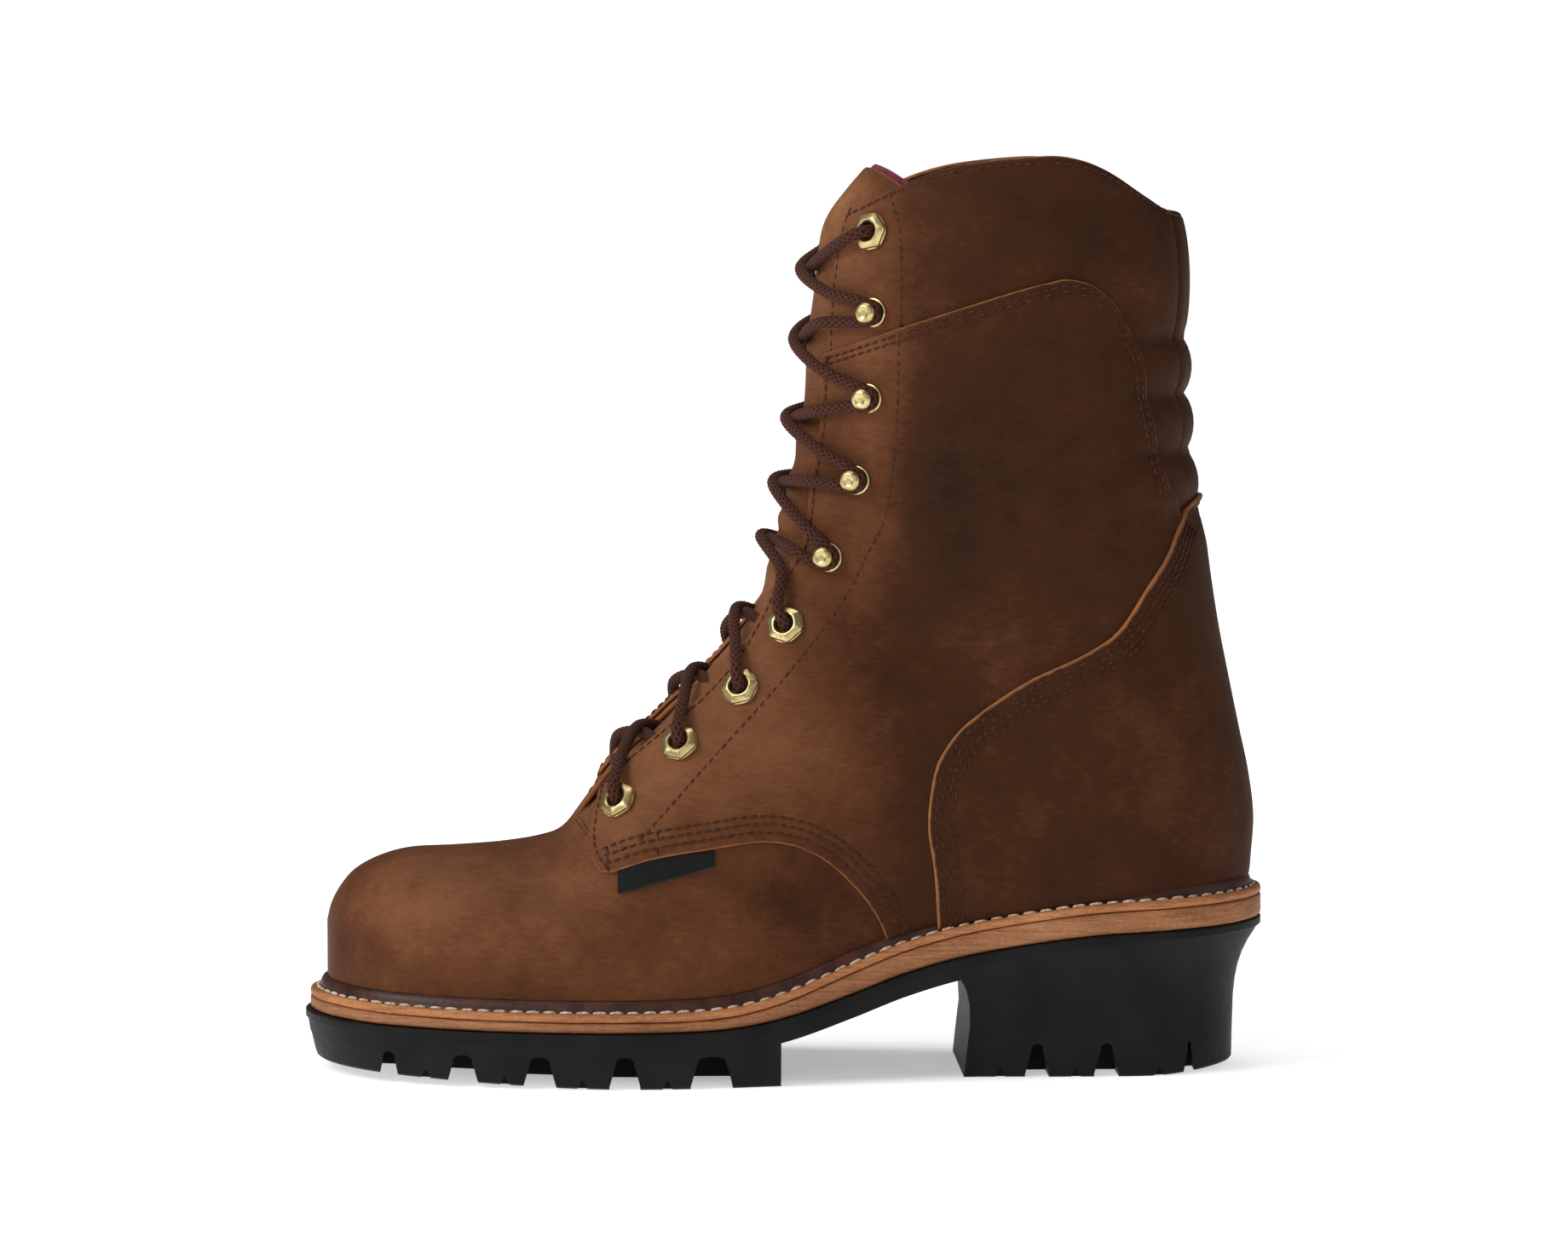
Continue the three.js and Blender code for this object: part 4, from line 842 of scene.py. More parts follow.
seam_curve = spline(place(VAMP_SEAM))
front_curve = spline(place(QUARTER_FRONT))
counter_curve = spline(place(COUNTER_EDGE))
top_curve = spline(place(QUARTER_TOP))
quarter_outline = np.vstack([
    counter_curve - np.array([UNDER_COUNTER, UNDER_COUNTER * 0.6]), top_curve,
    place([(0.95, 0.2), (0.95, 0.5), (0.7, 0.62)][::-1]), front_curve[::-1], seam_curve[::-1],
    place([(0.386, -0.25), (0.30, -0.25)]),
])
quarter_fields = [
    side_field(quarter_outline), throat_field,
    side_field(quarter_outline, np.vstack([seam_curve, front_curve])), side_field(quarter_outline, top_curve),
]


def make_quarter(name, ws):
    points, faces = trimmed(*net(stations_between(5.5, 34, 1.8), ws, quarter_fields), [2, 3], [
        (6, (0.25, 0.8)), (4, beside(VAMP_ROWS)), (5, beside(TOP_ROWS)), (3, beside((FACING_ROW,))),
    ])
    dip = (pulled_down(points[:, 4], VAMP_ROWS) + pulled_down(points[:, 5], TOP_ROWS)
           + pulled_down(points[:, 3], (FACING_ROW,)))
    thick = PANEL_TOP - PANEL_BASE
    outer = PANEL_BASE + thick * (0.5 + 0.5 * rounded(points[:, 6], 0.8)) - dip
    return shell(name, points, faces, outer, np.full(len(points), PANEL_BASE), points[:, 6])


quarter_outer = make_quarter("outer_quarter_leather", np.linspace(0.02, 0.97, 72))
quarter_inner = make_quarter("inner_quarter_leather", np.linspace(1.03, 1.98, 72))

# %% [markdown]
# The counter wraps the heel over the quarters. It is the thickest overlay, cut with a bare edge
# that shows lighter than the waxed face, and held by four close rows of stitches. It is pared
# thinner at its top, where it meets the rolls.

# %% Heel counter
COUNTER_TOP = 2 * CLEARANCE + 2.6
COUNTER_ROWS = (2.3, 4.2, 6.2, 8.3)
PARED_FROM = 172
PARED_OVER = 14
counter_line = spline(place(COUNTER_EDGE + COUNTER_TIP + [(-0.02, 0.538), (-0.12, 0.538)]))
counter_outline = np.vstack([counter_line, place([(-0.15, 0.538), (-0.15, -0.35), (0.33, -0.35)])])
counter_net = net(stations_between(12, 33, 1.7), full_ws,
                  [side_field(counter_outline), side_field(counter_outline, counter_line)], True)
counter_points, counter_faces = trimmed(*counter_net, [2], [
    (3, (0.25, 0.8)), (3, beside(COUNTER_ROWS, 0.7)),
])
counter_depth = counter_points[:, 3]
counter_height = bare(counter_points[:, 0], counter_points[:, 1])[:, 2]
at_back = 1 - smooth((split_way(counter_points[:, 1])[1] - 0.1) / 0.1)
pared = 1 - 0.4 * smooth((counter_height - PARED_FROM) / PARED_OVER) * at_back
counter_outer = (PANEL_BASE + (COUNTER_TOP - PANEL_BASE) * pared * (0.62 + 0.38 * rounded(counter_depth, 0.9))
                 - pulled_down(counter_depth, COUNTER_ROWS))
heel_counter = shell("counter_leather", counter_points, counter_faces, counter_outer,
                     np.full(len(counter_points), PANEL_BASE), counter_depth)

# %% [markdown]
# The tongue lies under the facings and is bellowed out a little between the lace's crossings. Its
# lining, a ribbed burgundy cloth, is bound round its top edge.

# %% Tongue and its lining
TONGUE_TOP = [(0.62, 0.985), (0.47, 0.995), (0.441, 0.998), (0.42, 0.988), (0.391, 0.965), (0.35, 0.93)]
ROLL_BACK = 0.006
ROLL_FROM = 274
TONGUE_REACH = 0.36
TONGUE_THICK = 2.6


def tongue_field(rise_by=0.0):
    top = spline(place(TONGUE_TOP) + np.array([0, rise_by]))
    outline = np.vstack([top, [(0.1 * LAST_LENGTH, top[-1, 1] - 8)], place([(0.1, 0.1), (0.9, 0.05)])])
    return side_field(outline, top)


def rolled_back(points):
    """The top of the tongue leans back towards the leg."""
    moved = points.copy()
    moved[:, 0] -= ROLL_BACK * np.maximum(0, points[:, 2] - ROLL_FROM) ** 2
    return moved


def make_tongue(name, field, low_u, depth, thickness, reach, radius, bulge=0.0):
    flat_net = net(stations_between(low_u, LAST_SECTION, 2.2), np.linspace(1 - reach, 1 + reach, 61), [field])
    points, faces = trimmed(*flat_net, [2], [(2, (0.4, 1.3))])
    u, w, edge = points[:, 0], points[:, 1], points[:, 2]
    waves = bulge * np.sin(u * 2.3 + 0.6) * np.cos(np.clip((w - 1) / 0.2, -1, 1) * np.pi / 2) ** 2
    half = thickness / 2
    middle = -wall_at(u, w) - depth - half + waves
    height = half * rounded(edge, radius)
    return shell(name, points, faces, middle + height, middle - height, edge, bent=rolled_back)


tongue = make_tongue("tongue_leather", tongue_field(), 8.2, 0.6, TONGUE_THICK, TONGUE_REACH, 1.2, 0.5)
tongue_lining = make_tongue("tongue_lining_cloth", tongue_field(2.2), 14, 0.6 + TONGUE_THICK - 0.4, 2.2,
                            TONGUE_REACH - 0.11, 0.9)

# %% [markdown]
# Every layer of the sole is a plate on the feather line's outline. A plate is a stack of rings,
# each a margin outside the feather line at a height that follows the foot, with its two ends
# closed by strips across. The welt stands a little proud of the midsole and has a groove for its
# stitches, and a raised dark bead next to the upper.

# %% Plates on the outline of the foot
def outline_at(turn, side, margin):
    def at(t):
        x = LAST_LENGTH * (1 - np.cos(np.pi * np.clip(t, 0, 1))) / 2
        return np.stack([x, side * feather_width(x, side)], -1)
    step = 0.003
    along = at(turn + step) - at(turn - step)
    out = np.stack([-along[:, 1], along[:, 0]], -1) * side
    out /= np.linalg.norm(out, axis=1, keepdims=True)
    out[turn <= 0] = (-1, 0)
    out[turn >= 1] = (1, 0)
    s = at(turn)[:, 0] / LAST_LENGTH
    reach = margin(s) if callable(margin) else np.full(len(turn), float(margin))
    return at(turn) + out * reach[:, None]


def even_turns(spacing):
    turn = np.linspace(0, 1, 3000)
    run = run_along(outline_at(turn, 1, 4.0))
    return np.interp(np.linspace(0, run[-1], int(run[-1] / spacing)), run, turn)


def ring(turns, margin, height):
    outer = outline_at(turns, 1, margin)
    inner = outline_at(turns, -1, margin)[-2:0:-1]
    flat = np.vstack([outer, inner])
    return np.column_stack([flat, height(flat[:, 0])])


def plate_mesh(name, turns, levels):
    """A closed plate; levels run from its bottom middle out, up and back to its top middle."""
    rings = [ring(turns, margin, height) for margin, height in levels]
    n, half = len(rings[0]), len(turns)
    faces = []
    for r in range(len(rings) - 1):
        for i in range(n):
            j = (i + 1) % n
            faces.append((r * n + i, (r + 1) * n + i, (r + 1) * n + j, r * n + j))
    for offset, top in ((0, False), ((len(rings) - 1) * n, True)):
        for i in range(half - 1):
            a, b = i, i + 1
            d, c = (n - i) % n, (n - i - 1) % n
            face = tuple(offset + v for v in dict.fromkeys((a, b, c, d)))
            faces.append(face[::-1] if top else face)
    return mesh_of(name, np.vstack(rings), faces)


def weld(mesh):
    """Recalculates a closed mesh's normals to point outwards."""
    work = bmesh.new()
    work.from_mesh(mesh)
    bmesh.ops.recalc_face_normals(work, faces=work.faces)
    work.to_mesh(mesh)
    work.free()
    return mesh


def welt_reach(s):
    return WELT_MARGIN + 2 * (1 - smooth(s / 0.25))


def lip_reach(s):
    return welt_reach(s) + RUBBER_LIP * smooth(s / 0.3)


def step_in(reach, by):
    return lambda s: reach(s) - by


def raised(height, by):
    return lambda x: height(x) + by


def stepped(reach, height, *rows):
    """Levels that lie so far inside a reach and so far above a height."""
    return [(step_in(reach, by), raised(height, up)) for by, up in rows]


# %% Welt and midsole
edge_turns = even_turns(1.6)
WELT_MIDDLE = -12
welt_levels = [
    (WELT_MIDDLE, welt_base), *stepped(welt_reach, welt_base, (0.5, 0), (0, 0.5), (0, 1.4)),
    *stepped(welt_reach, welt_top, (0.1, -3.1), (0.5, -2.5), (1.2, -2.2), (2.0, -2.2), (2.5, -2.6),
             (3.0, -2.5), (3.2, -1.4), (3.7, 0.2), (4.4, 1.3), (5.3, 1.7), (6.2, 1.3)),
    (-1.5, welt_top), (WELT_MIDDLE, welt_top),
]
welt_mesh = weld(plate_mesh("welt_leather", edge_turns, welt_levels))
BEAD_RINGS = (9, 14)
slots = np.zeros(len(welt_mesh.polygons), np.int32)
around_welt = 2 * len(edge_turns) - 2
slots[BEAD_RINGS[0] * around_welt:BEAD_RINGS[1] * around_welt] = 1
welt_mesh.polygons.foreach_set("material_index", slots)
welt = keep("welt_leather", welt_mesh)

midsole = keep("midsole_leather", weld(plate_mesh("midsole_leather", edge_turns, [
    (WELT_MIDDLE, midsole_base), *stepped(welt_reach, midsole_base, (0.6, 0), (0.1, 0.5), (0, 1.3)),
    *stepped(welt_reach, midsole_top, (0, -0.9), (0.2, -0.3), (0.8, 0)), (WELT_MIDDLE, midsole_top),
])))

# %% [markdown]
# The outsole is one moulding: a top band, the forefoot with its lugs, the shank and the heel
# block, which flares outwards to the floor at the back like a logger's heel. The forms are
# joined, then gaps with arched roots and small V notches are cut from the sides, and channels
# across the middle, all but under the toe. Blender's Manifold solver does this in one stack.

# %% Outsole: the forms
def tread_floor(x):
    return TOE_SPRING * smooth((x / LAST_LENGTH - 0.62) / 0.42) ** 1.3


def heel_floor(x):
    return HEEL_BEVEL * smooth((0.11 - x / LAST_LENGTH) / 0.12)


def temporary(name, mesh):
    made = bpy.data.objects.new(name, weld(mesh))
    bpy.context.scene.collection.objects.link(made)
    return made


def extruded(name, outline, y_low, y_high):
    """A slab between two widths whose side view is the given outline."""
    flat = np.asarray(outline, float)
    n = len(flat)
    points = np.vstack([np.column_stack([flat[:, 0], np.full(n, y), flat[:, 1]]) for y in (y_low, y_high)])
    faces = [tuple(range(n)), tuple(range(2 * n - 1, n - 1, -1))]
    faces += [(i, i + n, (i + 1) % n + n, (i + 1) % n) for i in range(n)]
    return temporary(name, mesh_of(name, points, faces))


def combined(name, start, steps):
    """Runs a stack of Boolean modifiers and returns the resulting mesh."""
    for operation, other in steps:
        modifier = start.modifiers.new("join", "BOOLEAN")
        modifier.operation = operation
        modifier.solver = "MANIFOLD"
        modifier.object = other
    bpy.context.view_layer.update()
    result = bpy.data.meshes.new_from_object(start.evaluated_get(bpy.context.evaluated_depsgraph_get()))
    result.name = name
    for _, other in steps:
        bpy.data.objects.remove(other)
    bpy.data.objects.remove(start)
    return result


sole_turns = even_turns(1.9)


def form(name, levels):
    return temporary(name, plate_mesh(name, sole_turns, levels))


def heel_side(share):
    return lambda s: lip_reach(s) - HEEL_FLARE * share


def heel_level(share):
    return lambda x: blend(heel_floor(x), rubber_top(x) - LIP_HEIGHT, share)


def base_side(s):
    return lip_reach(s) - blend(HEEL_FLARE * 0.55, 1.4, smooth((s - 0.25) / 0.2))


RUBBER_MIDDLE = -16
base_low, base_high = raised(rubber_top, -BASE_THICKNESS), raised(rubber_top, -LIP_HEIGHT + 0.2)
tread_top = raised(rubber_top, -BASE_THICKNESS + 1)
heel_curve = [(0.985, 0.2), (0.95, 0.47), (0.885, 0.6), (0.79, 0.7), (0.63, 0.8), (0.42, 0.89),
              (0.2, 0.96), (0.05, 1.02)]
band = form("band", [
    (RUBBER_MIDDLE, raised(rubber_top, -LIP_HEIGHT)),
    *stepped(lip_reach, rubber_top, (0.45, -LIP_HEIGHT), (0, -LIP_HEIGHT + 0.35), (0, -0.5), (0.5, 0)),
    (RUBBER_MIDDLE, rubber_top),
])
base = form("base", [
    (RUBBER_MIDDLE, base_low), (base_side, base_low), (step_in(lip_reach, 0.6), base_high),
    (RUBBER_MIDDLE, base_high),
])
tread = form("tread", [
    (RUBBER_MIDDLE, tread_floor),
    *stepped(lip_reach, tread_floor, (SIDE_TAPER + 1.2, 0), (SIDE_TAPER + 0.2, 0.7), (SIDE_TAPER - 0.4, 2.4)),
    (step_in(lip_reach, 1.4), tread_top), (RUBBER_MIDDLE, tread_top),
])
heel_block = form("heel", [
    (RUBBER_MIDDLE, heel_floor), (heel_side(1.06), heel_floor), (heel_side(1), raised(heel_floor, 0.7)),
    *[(heel_side(share), heel_level(up)) for share, up in heel_curve], (RUBBER_MIDDLE, heel_level(1.02)),
])
WIDEST = 80
fore_box = extruded("fore box", [(SHANK_END, -5), (340, -5), (340, 40), (SHANK_END, 40)], -WIDEST, WIDEST)
breast = [(-1.6, 0.2), (-2.5, 0.35), (-2.2, 0.48), (-1, 0.58), (1.6, 0.68)]
heel_slab = extruded("heel slab", [
    (-40, -5), (HEEL_BREAST, -5), *[(HEEL_BREAST + out, HEEL_HEIGHT * up) for out, up in breast],
    (HEEL_BREAST + 5, float(tread_top(HEEL_BREAST))), (HEEL_BREAST + 5, HEEL_HEIGHT),
    (-40, HEEL_HEIGHT + 5),
], -WIDEST, WIDEST)
tread = temporary("tread", combined("tread", tread, [("INTERSECT", fore_box)]))
heel_block = temporary("heel", combined("heel", heel_block, [("INTERSECT", heel_slab)]))

# %% Outsole: gaps, channels and notches
fore_gaps = table("start end narrow", (0.560, 0.605, 0.7), (0.659, 0.692, 0.62), (0.749, 0.784, 0.62),
                  (0.832, 0.866, 0.62), (0.918, 0.940, 0.6))
heel_gaps = table("start end narrow", (0.055, 0.067, 0.3), (0.139, 0.166, 0.5), (0.215, 0.241, 0.5))
FORE_NOTCHES = (0.889, 0.804, 0.721, 0.630)
HEEL_NOTCHES = (0.095, 0.186, 0.268)
MIDDLE_BLOCKS = (0.575, 0.93)
NOTCH = 3.2
HEEL_CORE = 15
LUG_GAP_DEPTH = 30
CHANNEL_WIDTH = 5
CHANNEL_OUT = 21
CHANNEL_LEFT = 2.5
TOE_GAPS = 0.8


def gap_outline(start, end, narrow, root):
    """A gap with upright lower walls and an arched root."""
    a, b = start * LAST_LENGTH, end * LAST_LENGTH
    pinch = (b - a) * (1 - narrow) / 2
    shoulder = root - 2.6
    angle = np.linspace(0, np.pi, 9)
    middle, half = (a + b) / 2, (b - a) / 2 - pinch
    arch = np.column_stack([middle + half * np.cos(angle), shoulder + 2.6 * np.sin(angle) ** 0.7])
    return np.vstack([[(a, -5), (b, -5), (b, 1)], arch, [(a, 1)]])


def both_sides(name, outline, near, far):
    return [extruded(name, outline, *sorted((side * near, side * far))) for side in (1, -1)]


cutters = []
root = FORE_HEIGHT - BASE_THICKNESS
for start, end, narrow in zip(*fore_gaps.values()):
    x = (start + end) / 2 * LAST_LENGTH
    for side in (1, -1):
        near = side * max(HEEL_CORE, float(feather_width(x, side)) + WELT_MARGIN - LUG_GAP_DEPTH)
        cutters.append(extruded("gap", gap_outline(start, end, narrow, root), *sorted((near, side * WIDEST))))
    deep = root - CHANNEL_LEFT
    cross = [(x - CHANNEL_WIDTH / 2, -5), (x + CHANNEL_WIDTH / 2, -5), (x + CHANNEL_WIDTH / 2 - 0.6, deep),
             (x - CHANNEL_WIDTH / 2 + 0.6, deep)]
    if start < TOE_GAPS:
        cutters.append(extruded("channel", cross, -CHANNEL_OUT, CHANNEL_OUT))
rear, front = (share * LAST_LENGTH for share in MIDDLE_BLOCKS)
for side in (1, -1):
    near, far = sorted((side * CHANNEL_OUT - CHANNEL_WIDTH / 2, side * CHANNEL_OUT + CHANNEL_WIDTH / 2))
    cutters.append(extruded("channel", [(rear, -5), (front, -5), (front, deep), (rear, deep)], near, far))
for start, end, narrow in zip(*heel_gaps.values()):
    cutters += both_sides("gap", gap_outline(start, end, narrow, 11), HEEL_CORE, WIDEST)
for share, reach in [(s, WELT_MARGIN - 1.5) for s in FORE_NOTCHES] + [(s, -1) for s in HEEL_NOTCHES]:
    x = share * LAST_LENGTH
    floor = float(tread_floor(x))
    outline = [(x - NOTCH / 2 - 0.6, -5), (x + NOTCH / 2 + 0.6, -5), (x + NOTCH / 2, floor),
               (x, floor + NOTCH), (x - NOTCH / 2, floor)]
    for side in (1, -1):
        edge = side * (float(feather_width(x, side)) + reach)
        cutters.append(extruded("notch", outline, *sorted((edge - side * NOTCH, edge + side * 9))))

steps = [("UNION", base), ("UNION", tread), ("UNION", heel_block)] + [("DIFFERENCE", c) for c in cutters]
outsole_mesh = combined("outsole_rubber", band, steps)
outsole = keep("outsole_rubber", outsole_mesh, sharp=28)

# %% [markdown]
# Brass sits in nine rows on each facing: four eyelets with hexagonal rims, four speed hooks with
# domed caps, and one more eyelet at the top. Each is turned like a washer, ring by ring, then
# placed in a frame of three directions: out of the leather, towards the throat, and up.

# %% Frames for the brass
LACE_RADIUS = 1.9
PANEL_ROWS = 7
TOP_ROW = 8
rows = table("s h", (0.678, 0.120), (0.613, 0.196), (0.5475, 0.272), (0.498, 0.357), (0.450, 0.452),
             (0.421, 0.559), (0.408, 0.672), (0.4065, 0.788), (0.409, 0.898))
EYELETS = (0, 1, 2, 3, TOP_ROW)
HOOKS = (4, 5, 6, 7)


def unit(vector):
    return vector / np.linalg.norm(vector)


def mount(row, side):
    u, w = locate(rows["s"][row] * LAST_LENGTH, HEEL_SEAT + rows["h"][row] * SHAFT_HEIGHT, side)
    offset = (PANEL_TOP if row < PANEL_ROWS else 0.0) + 0.1
    origin, out = surface(u, w, offset)[0], normal(u, w)[0]
    nearer = surface(u, w + side * 0.02, offset)[0] - origin
    front = unit(nearer - out * (nearer @ out))
    up = np.cross(out, front)
    return {"u": float(u[0]), "w": float(w[0]), "origin": origin, "out": out, "front": front,
            "up": up if up[2] > 0 else -up}


mounts = {(row, side): mount(row, side) for row in range(len(rows["s"])) for side in (1, -1)}


def spot_on(frame_of, front=0.0, out=0.0, up=0.0):
    return frame_of["origin"] + frame_of["front"] * front + frame_of["out"] * out + frame_of["up"] * up


def ring_faces(count, around, ends):
    """Faces of a tube of rings, closed by flat ends or joined from the last ring to the first."""
    faces = []
    for r in range(count - 1 if ends else count):
        low, high = r * around, (r + 1) % count * around
        for i in range(around):
            j = (i + 1) % around
            faces.append((low + i, low + j, high + j, high + i))
    if ends:
        faces += [tuple(range(around - 1, -1, -1)), tuple((count - 1) * around + i for i in range(around))]
    return faces


def turned(profile, around, ends):
    """Rings of (radius, height, share of a hexagon), joined into a closed form."""
    angle = np.arange(around) * 2 * np.pi / around
    hexagon = np.minimum(1 / np.cos((angle + np.pi / 6) % (np.pi / 3) - np.pi / 6), 1.13)
    points = []
    for radius, height, share in profile:
        reach = radius * blend(1, hexagon, share)
        flat = [reach * np.cos(angle), reach * np.sin(angle), np.full(around, height)]
        points.append(np.column_stack(flat))
    return np.vstack(points), ring_faces(len(profile), around, ends)


def brass_piece(name, row_list, profile, around, ends, sharp):
    points, faces, start = [], [], 0
    for row in row_list:
        for side in (1, -1):
            spots, own = turned(profile, around, ends)
            at = mounts[row, side]
            turn = 0.35 * row
            x, y = (spots[:, 0] * np.cos(turn) - spots[:, 1] * np.sin(turn),
                    spots[:, 0] * np.sin(turn) + spots[:, 1] * np.cos(turn))
            across = np.cross(at["out"], at["front"])
            points.append(at["origin"] + x[:, None] * at["front"] + y[:, None] * across
                          + spots[:, 2:] * at["out"])
            faces += [tuple(start + v for v in face) for face in own]
            start += len(spots)
    return keep(name, weld(mesh_of(name, np.vstack(points), faces)), sharp=sharp)


eyelet_profile = [
    (2.75, -4.2, 0), (3.5, -4.2, 0), (3.6, -0.2, 0), (5.7, -0.1, 0), (6.0, 0.1, 0.3), (5.95, 0.4, 0.5),
    (5.6, 0.6, 1), (5.65, 0.9, 1), (5.6, 1.5, 1), (5.4, 1.8, 1), (4.5, 2.4, 0.8), (3.9, 2.65, 0.4),
    (3.6, 2.65, 0.1), (3.2, 2.4, 0), (2.95, 1.8, 0), (2.78, 1.0, 0),
]
hook_profile = [(radius, height, 0) for radius, height in (
    (0.6, -0.3), (4.5, -0.3), (4.8, 0), (4.85, 0.4), (4.7, 0.8), (4.3, 1.0), (3.6, 0.95), (3.2, 0.6),
    (1.3, 0.5), (1.0, 0.8), (0.9, 1.6), (0.9, 4.2), (1.6, 4.6), (2.9, 4.7), (3.4, 4.9), (3.55, 5.4),
    (3.45, 5.9), (3.1, 6.4), (2.6, 6.75), (2.1, 6.9), (1.75, 6.8), (1.5, 6.6), (0.9, 6.55), (0.3, 6.6),
)]
eyelets = brass_piece("brass_eyelets", EYELETS, eyelet_profile, 48, False, 17)
hooks = brass_piece("brass_hooks", HOOKS, hook_profile, 32, True, 40)

# %% [markdown]
# One lace runs through the whole throat: in at one top eyelet, down from hook to hook, through
# the lower eyelets from behind, across, and up the other side. Its route is a list of places
# beside each hook and through each hole, drawn as one smooth curve. The tube round it has the
# small diamond relief of a braided cord.

# %% The lace's route
def throat_turn(u, side):
    """How far round the section the facing's edge lies."""
    edge = throat_half(u, side > 0)
    low, high = np.full(np.shape(u), 0.5), np.ones(np.shape(u))
    for _ in range(30):
        middle_turn = (low + high) / 2
        outside = np.abs(bare(u, middle_turn)[..., 1]) > edge
        low, high = np.where(outside, middle_turn, low), np.where(outside, high, middle_turn)
    return low


def at_edge(k, side, t, offset, back=0.0):
    """A place at the facing's edge, a share of the way from one row to the next."""
    u = blend(mounts[k, side]["u"], mounts[k + 1, side]["u"], t)
    turn = float(throat_turn(np.array([u]), side)[0]) - back
    return surface(np.array([u]), np.array([turn if side > 0 else 2 - turn]), offset)[0]


def over_edge(k, side, t):
    return at_edge(k, side, t, (PANEL_TOP if k < PANEL_ROWS else 0.0) + LACE_RADIUS + 0.2)


def under_edge(k, side, t):
    return at_edge(k, side, t, -UPPER_WALL - 1.2, back=0.02)


def over_tongue(k, t, lift):
    u = blend(mounts[k, 1]["u"], mounts[k + 1, 1]["u"], t)
    return surface(np.array([u]), np.array([1.0]), lift)[0]


THROUGH_HOLE = [(0.8, -5.2, 0), (0, -1.5, 0), (0.3, 2.4, 0.2), (2.0, 4.4, 1.0), (5.6, 4.5, 2.6)]
ROUND_HOOK = [(5.6, 3.0, -3.7), (1.8, 3.0, -3.1), (-1.2, 2.9, -2.2), (-2.4, 2.9, 0), (-1.2, 2.9, 2.2),
              (1.8, 3.0, 3.1), (5.6, 3.0, 3.7)]


def climb(first):
    """The lace's way up from the lowest eyelet on one side, changing sides at each row."""
    path = [spot_on(mounts[0, first], *spot) for spot in THROUGH_HOLE]
    for k in range(TOP_ROW):
        side = first if k % 2 == 0 else -first
        over = (k % 2 == 0) == (first > 0)
        path += [over_edge(k, side, 0.24), over_tongue(k, 0.5, 1.6 if over else -1.4)]
        end = mounts[k + 1, -side]
        if k + 1 == TOP_ROW:
            path += [over_edge(k, -side, 0.75)] + [spot_on(end, f, n, -v) for f, n, v in THROUGH_HOLE[::-1]]
        elif k + 1 in EYELETS:
            path += [under_edge(k, -side, 0.72)] + [spot_on(end, *spot) for spot in THROUGH_HOLE]
        else:
            path += [over_edge(k, -side, 0.78)] + [spot_on(end, *spot) for spot in ROUND_HOOK]
    return path


bottom = [under_edge(0, 1, 0.0), surface(np.array([mounts[0, 1]["u"]]), np.array([1.0]), -0.7)[0],
          under_edge(0, -1, 0.0)]
lace_line = spline(climb(1)[::-1] + bottom + climb(-1), 0.45)
print("lace is", round(run_along(lace_line)[-1]), "mm long between the top eyelets")


# %% The lace
def carried_frames(line):
    """Directions across a line that turn as little as possible from point to point."""
    along = np.gradient(line, axis=0)
    along /= np.linalg.norm(along, axis=1, keepdims=True)
    across = [unit(np.cross(along[0], (0.3, 0.5, 0.8)))]
    for tangent in along[1:]:
        kept = across[-1] - tangent * (across[-1] @ tangent)
        across.append(unit(kept))
    across = np.array(across)
    return across, np.cross(along, across)


def braided(name, line, radius, around=24, lobes=6, pitch=2.6, relief=0.18):
    across, third = carried_frames(line)
    run = run_along(line)
    angle = np.arange(around) * 2 * np.pi / around
    plait = np.cos(lobes * angle)[None, :] * np.cos(2 * np.pi * run / pitch)[:, None]
    reach = radius + relief * plait
    points = (line[:, None] + reach[..., None] * (np.cos(angle)[None, :, None] * across[:, None]
                                                   + np.sin(angle)[None, :, None] * third[:, None]))
    mesh = mesh_of(name, points.reshape(-1, 3), ring_faces(len(line), around, True))
    weld(mesh)
    layer = mesh.uv_layers.new(name="UVMap")
    owner = np.zeros(len(mesh.loops), np.int32)
    mesh.loops.foreach_get("vertex_index", owner)
    lengthways, round_it = run[owner // around] * MM, (owner % around) / around
    starts = np.array([p.loop_start for p in mesh.polygons])
    corners = starts[:-2, None] + np.arange(4)
    turns = round_it[corners]
    last_strip = (turns == 0) & (turns.max(axis=1, keepdims=True) > 0.5)
    round_it[corners] = np.where(last_strip, 1.0, turns)
    layer.data.foreach_set("uv", np.column_stack([lengthways, round_it]).ravel())
    return keep(name, mesh)


lace = braided("lace", lace_line, LACE_RADIUS)

# %% [markdown]
# A small folded label of black ribbon is caught under the front corner of the outer quarter. It
# is left bare. It hangs a little off the vamp, so that it has an edge and a shadow.

# %% Label
label = table("s top bottom", (0.682, 0.033, 0.002), (0.648, 0.047, 0.014), (0.614, 0.054, 0.025),
              (0.579, 0.059, 0.037))


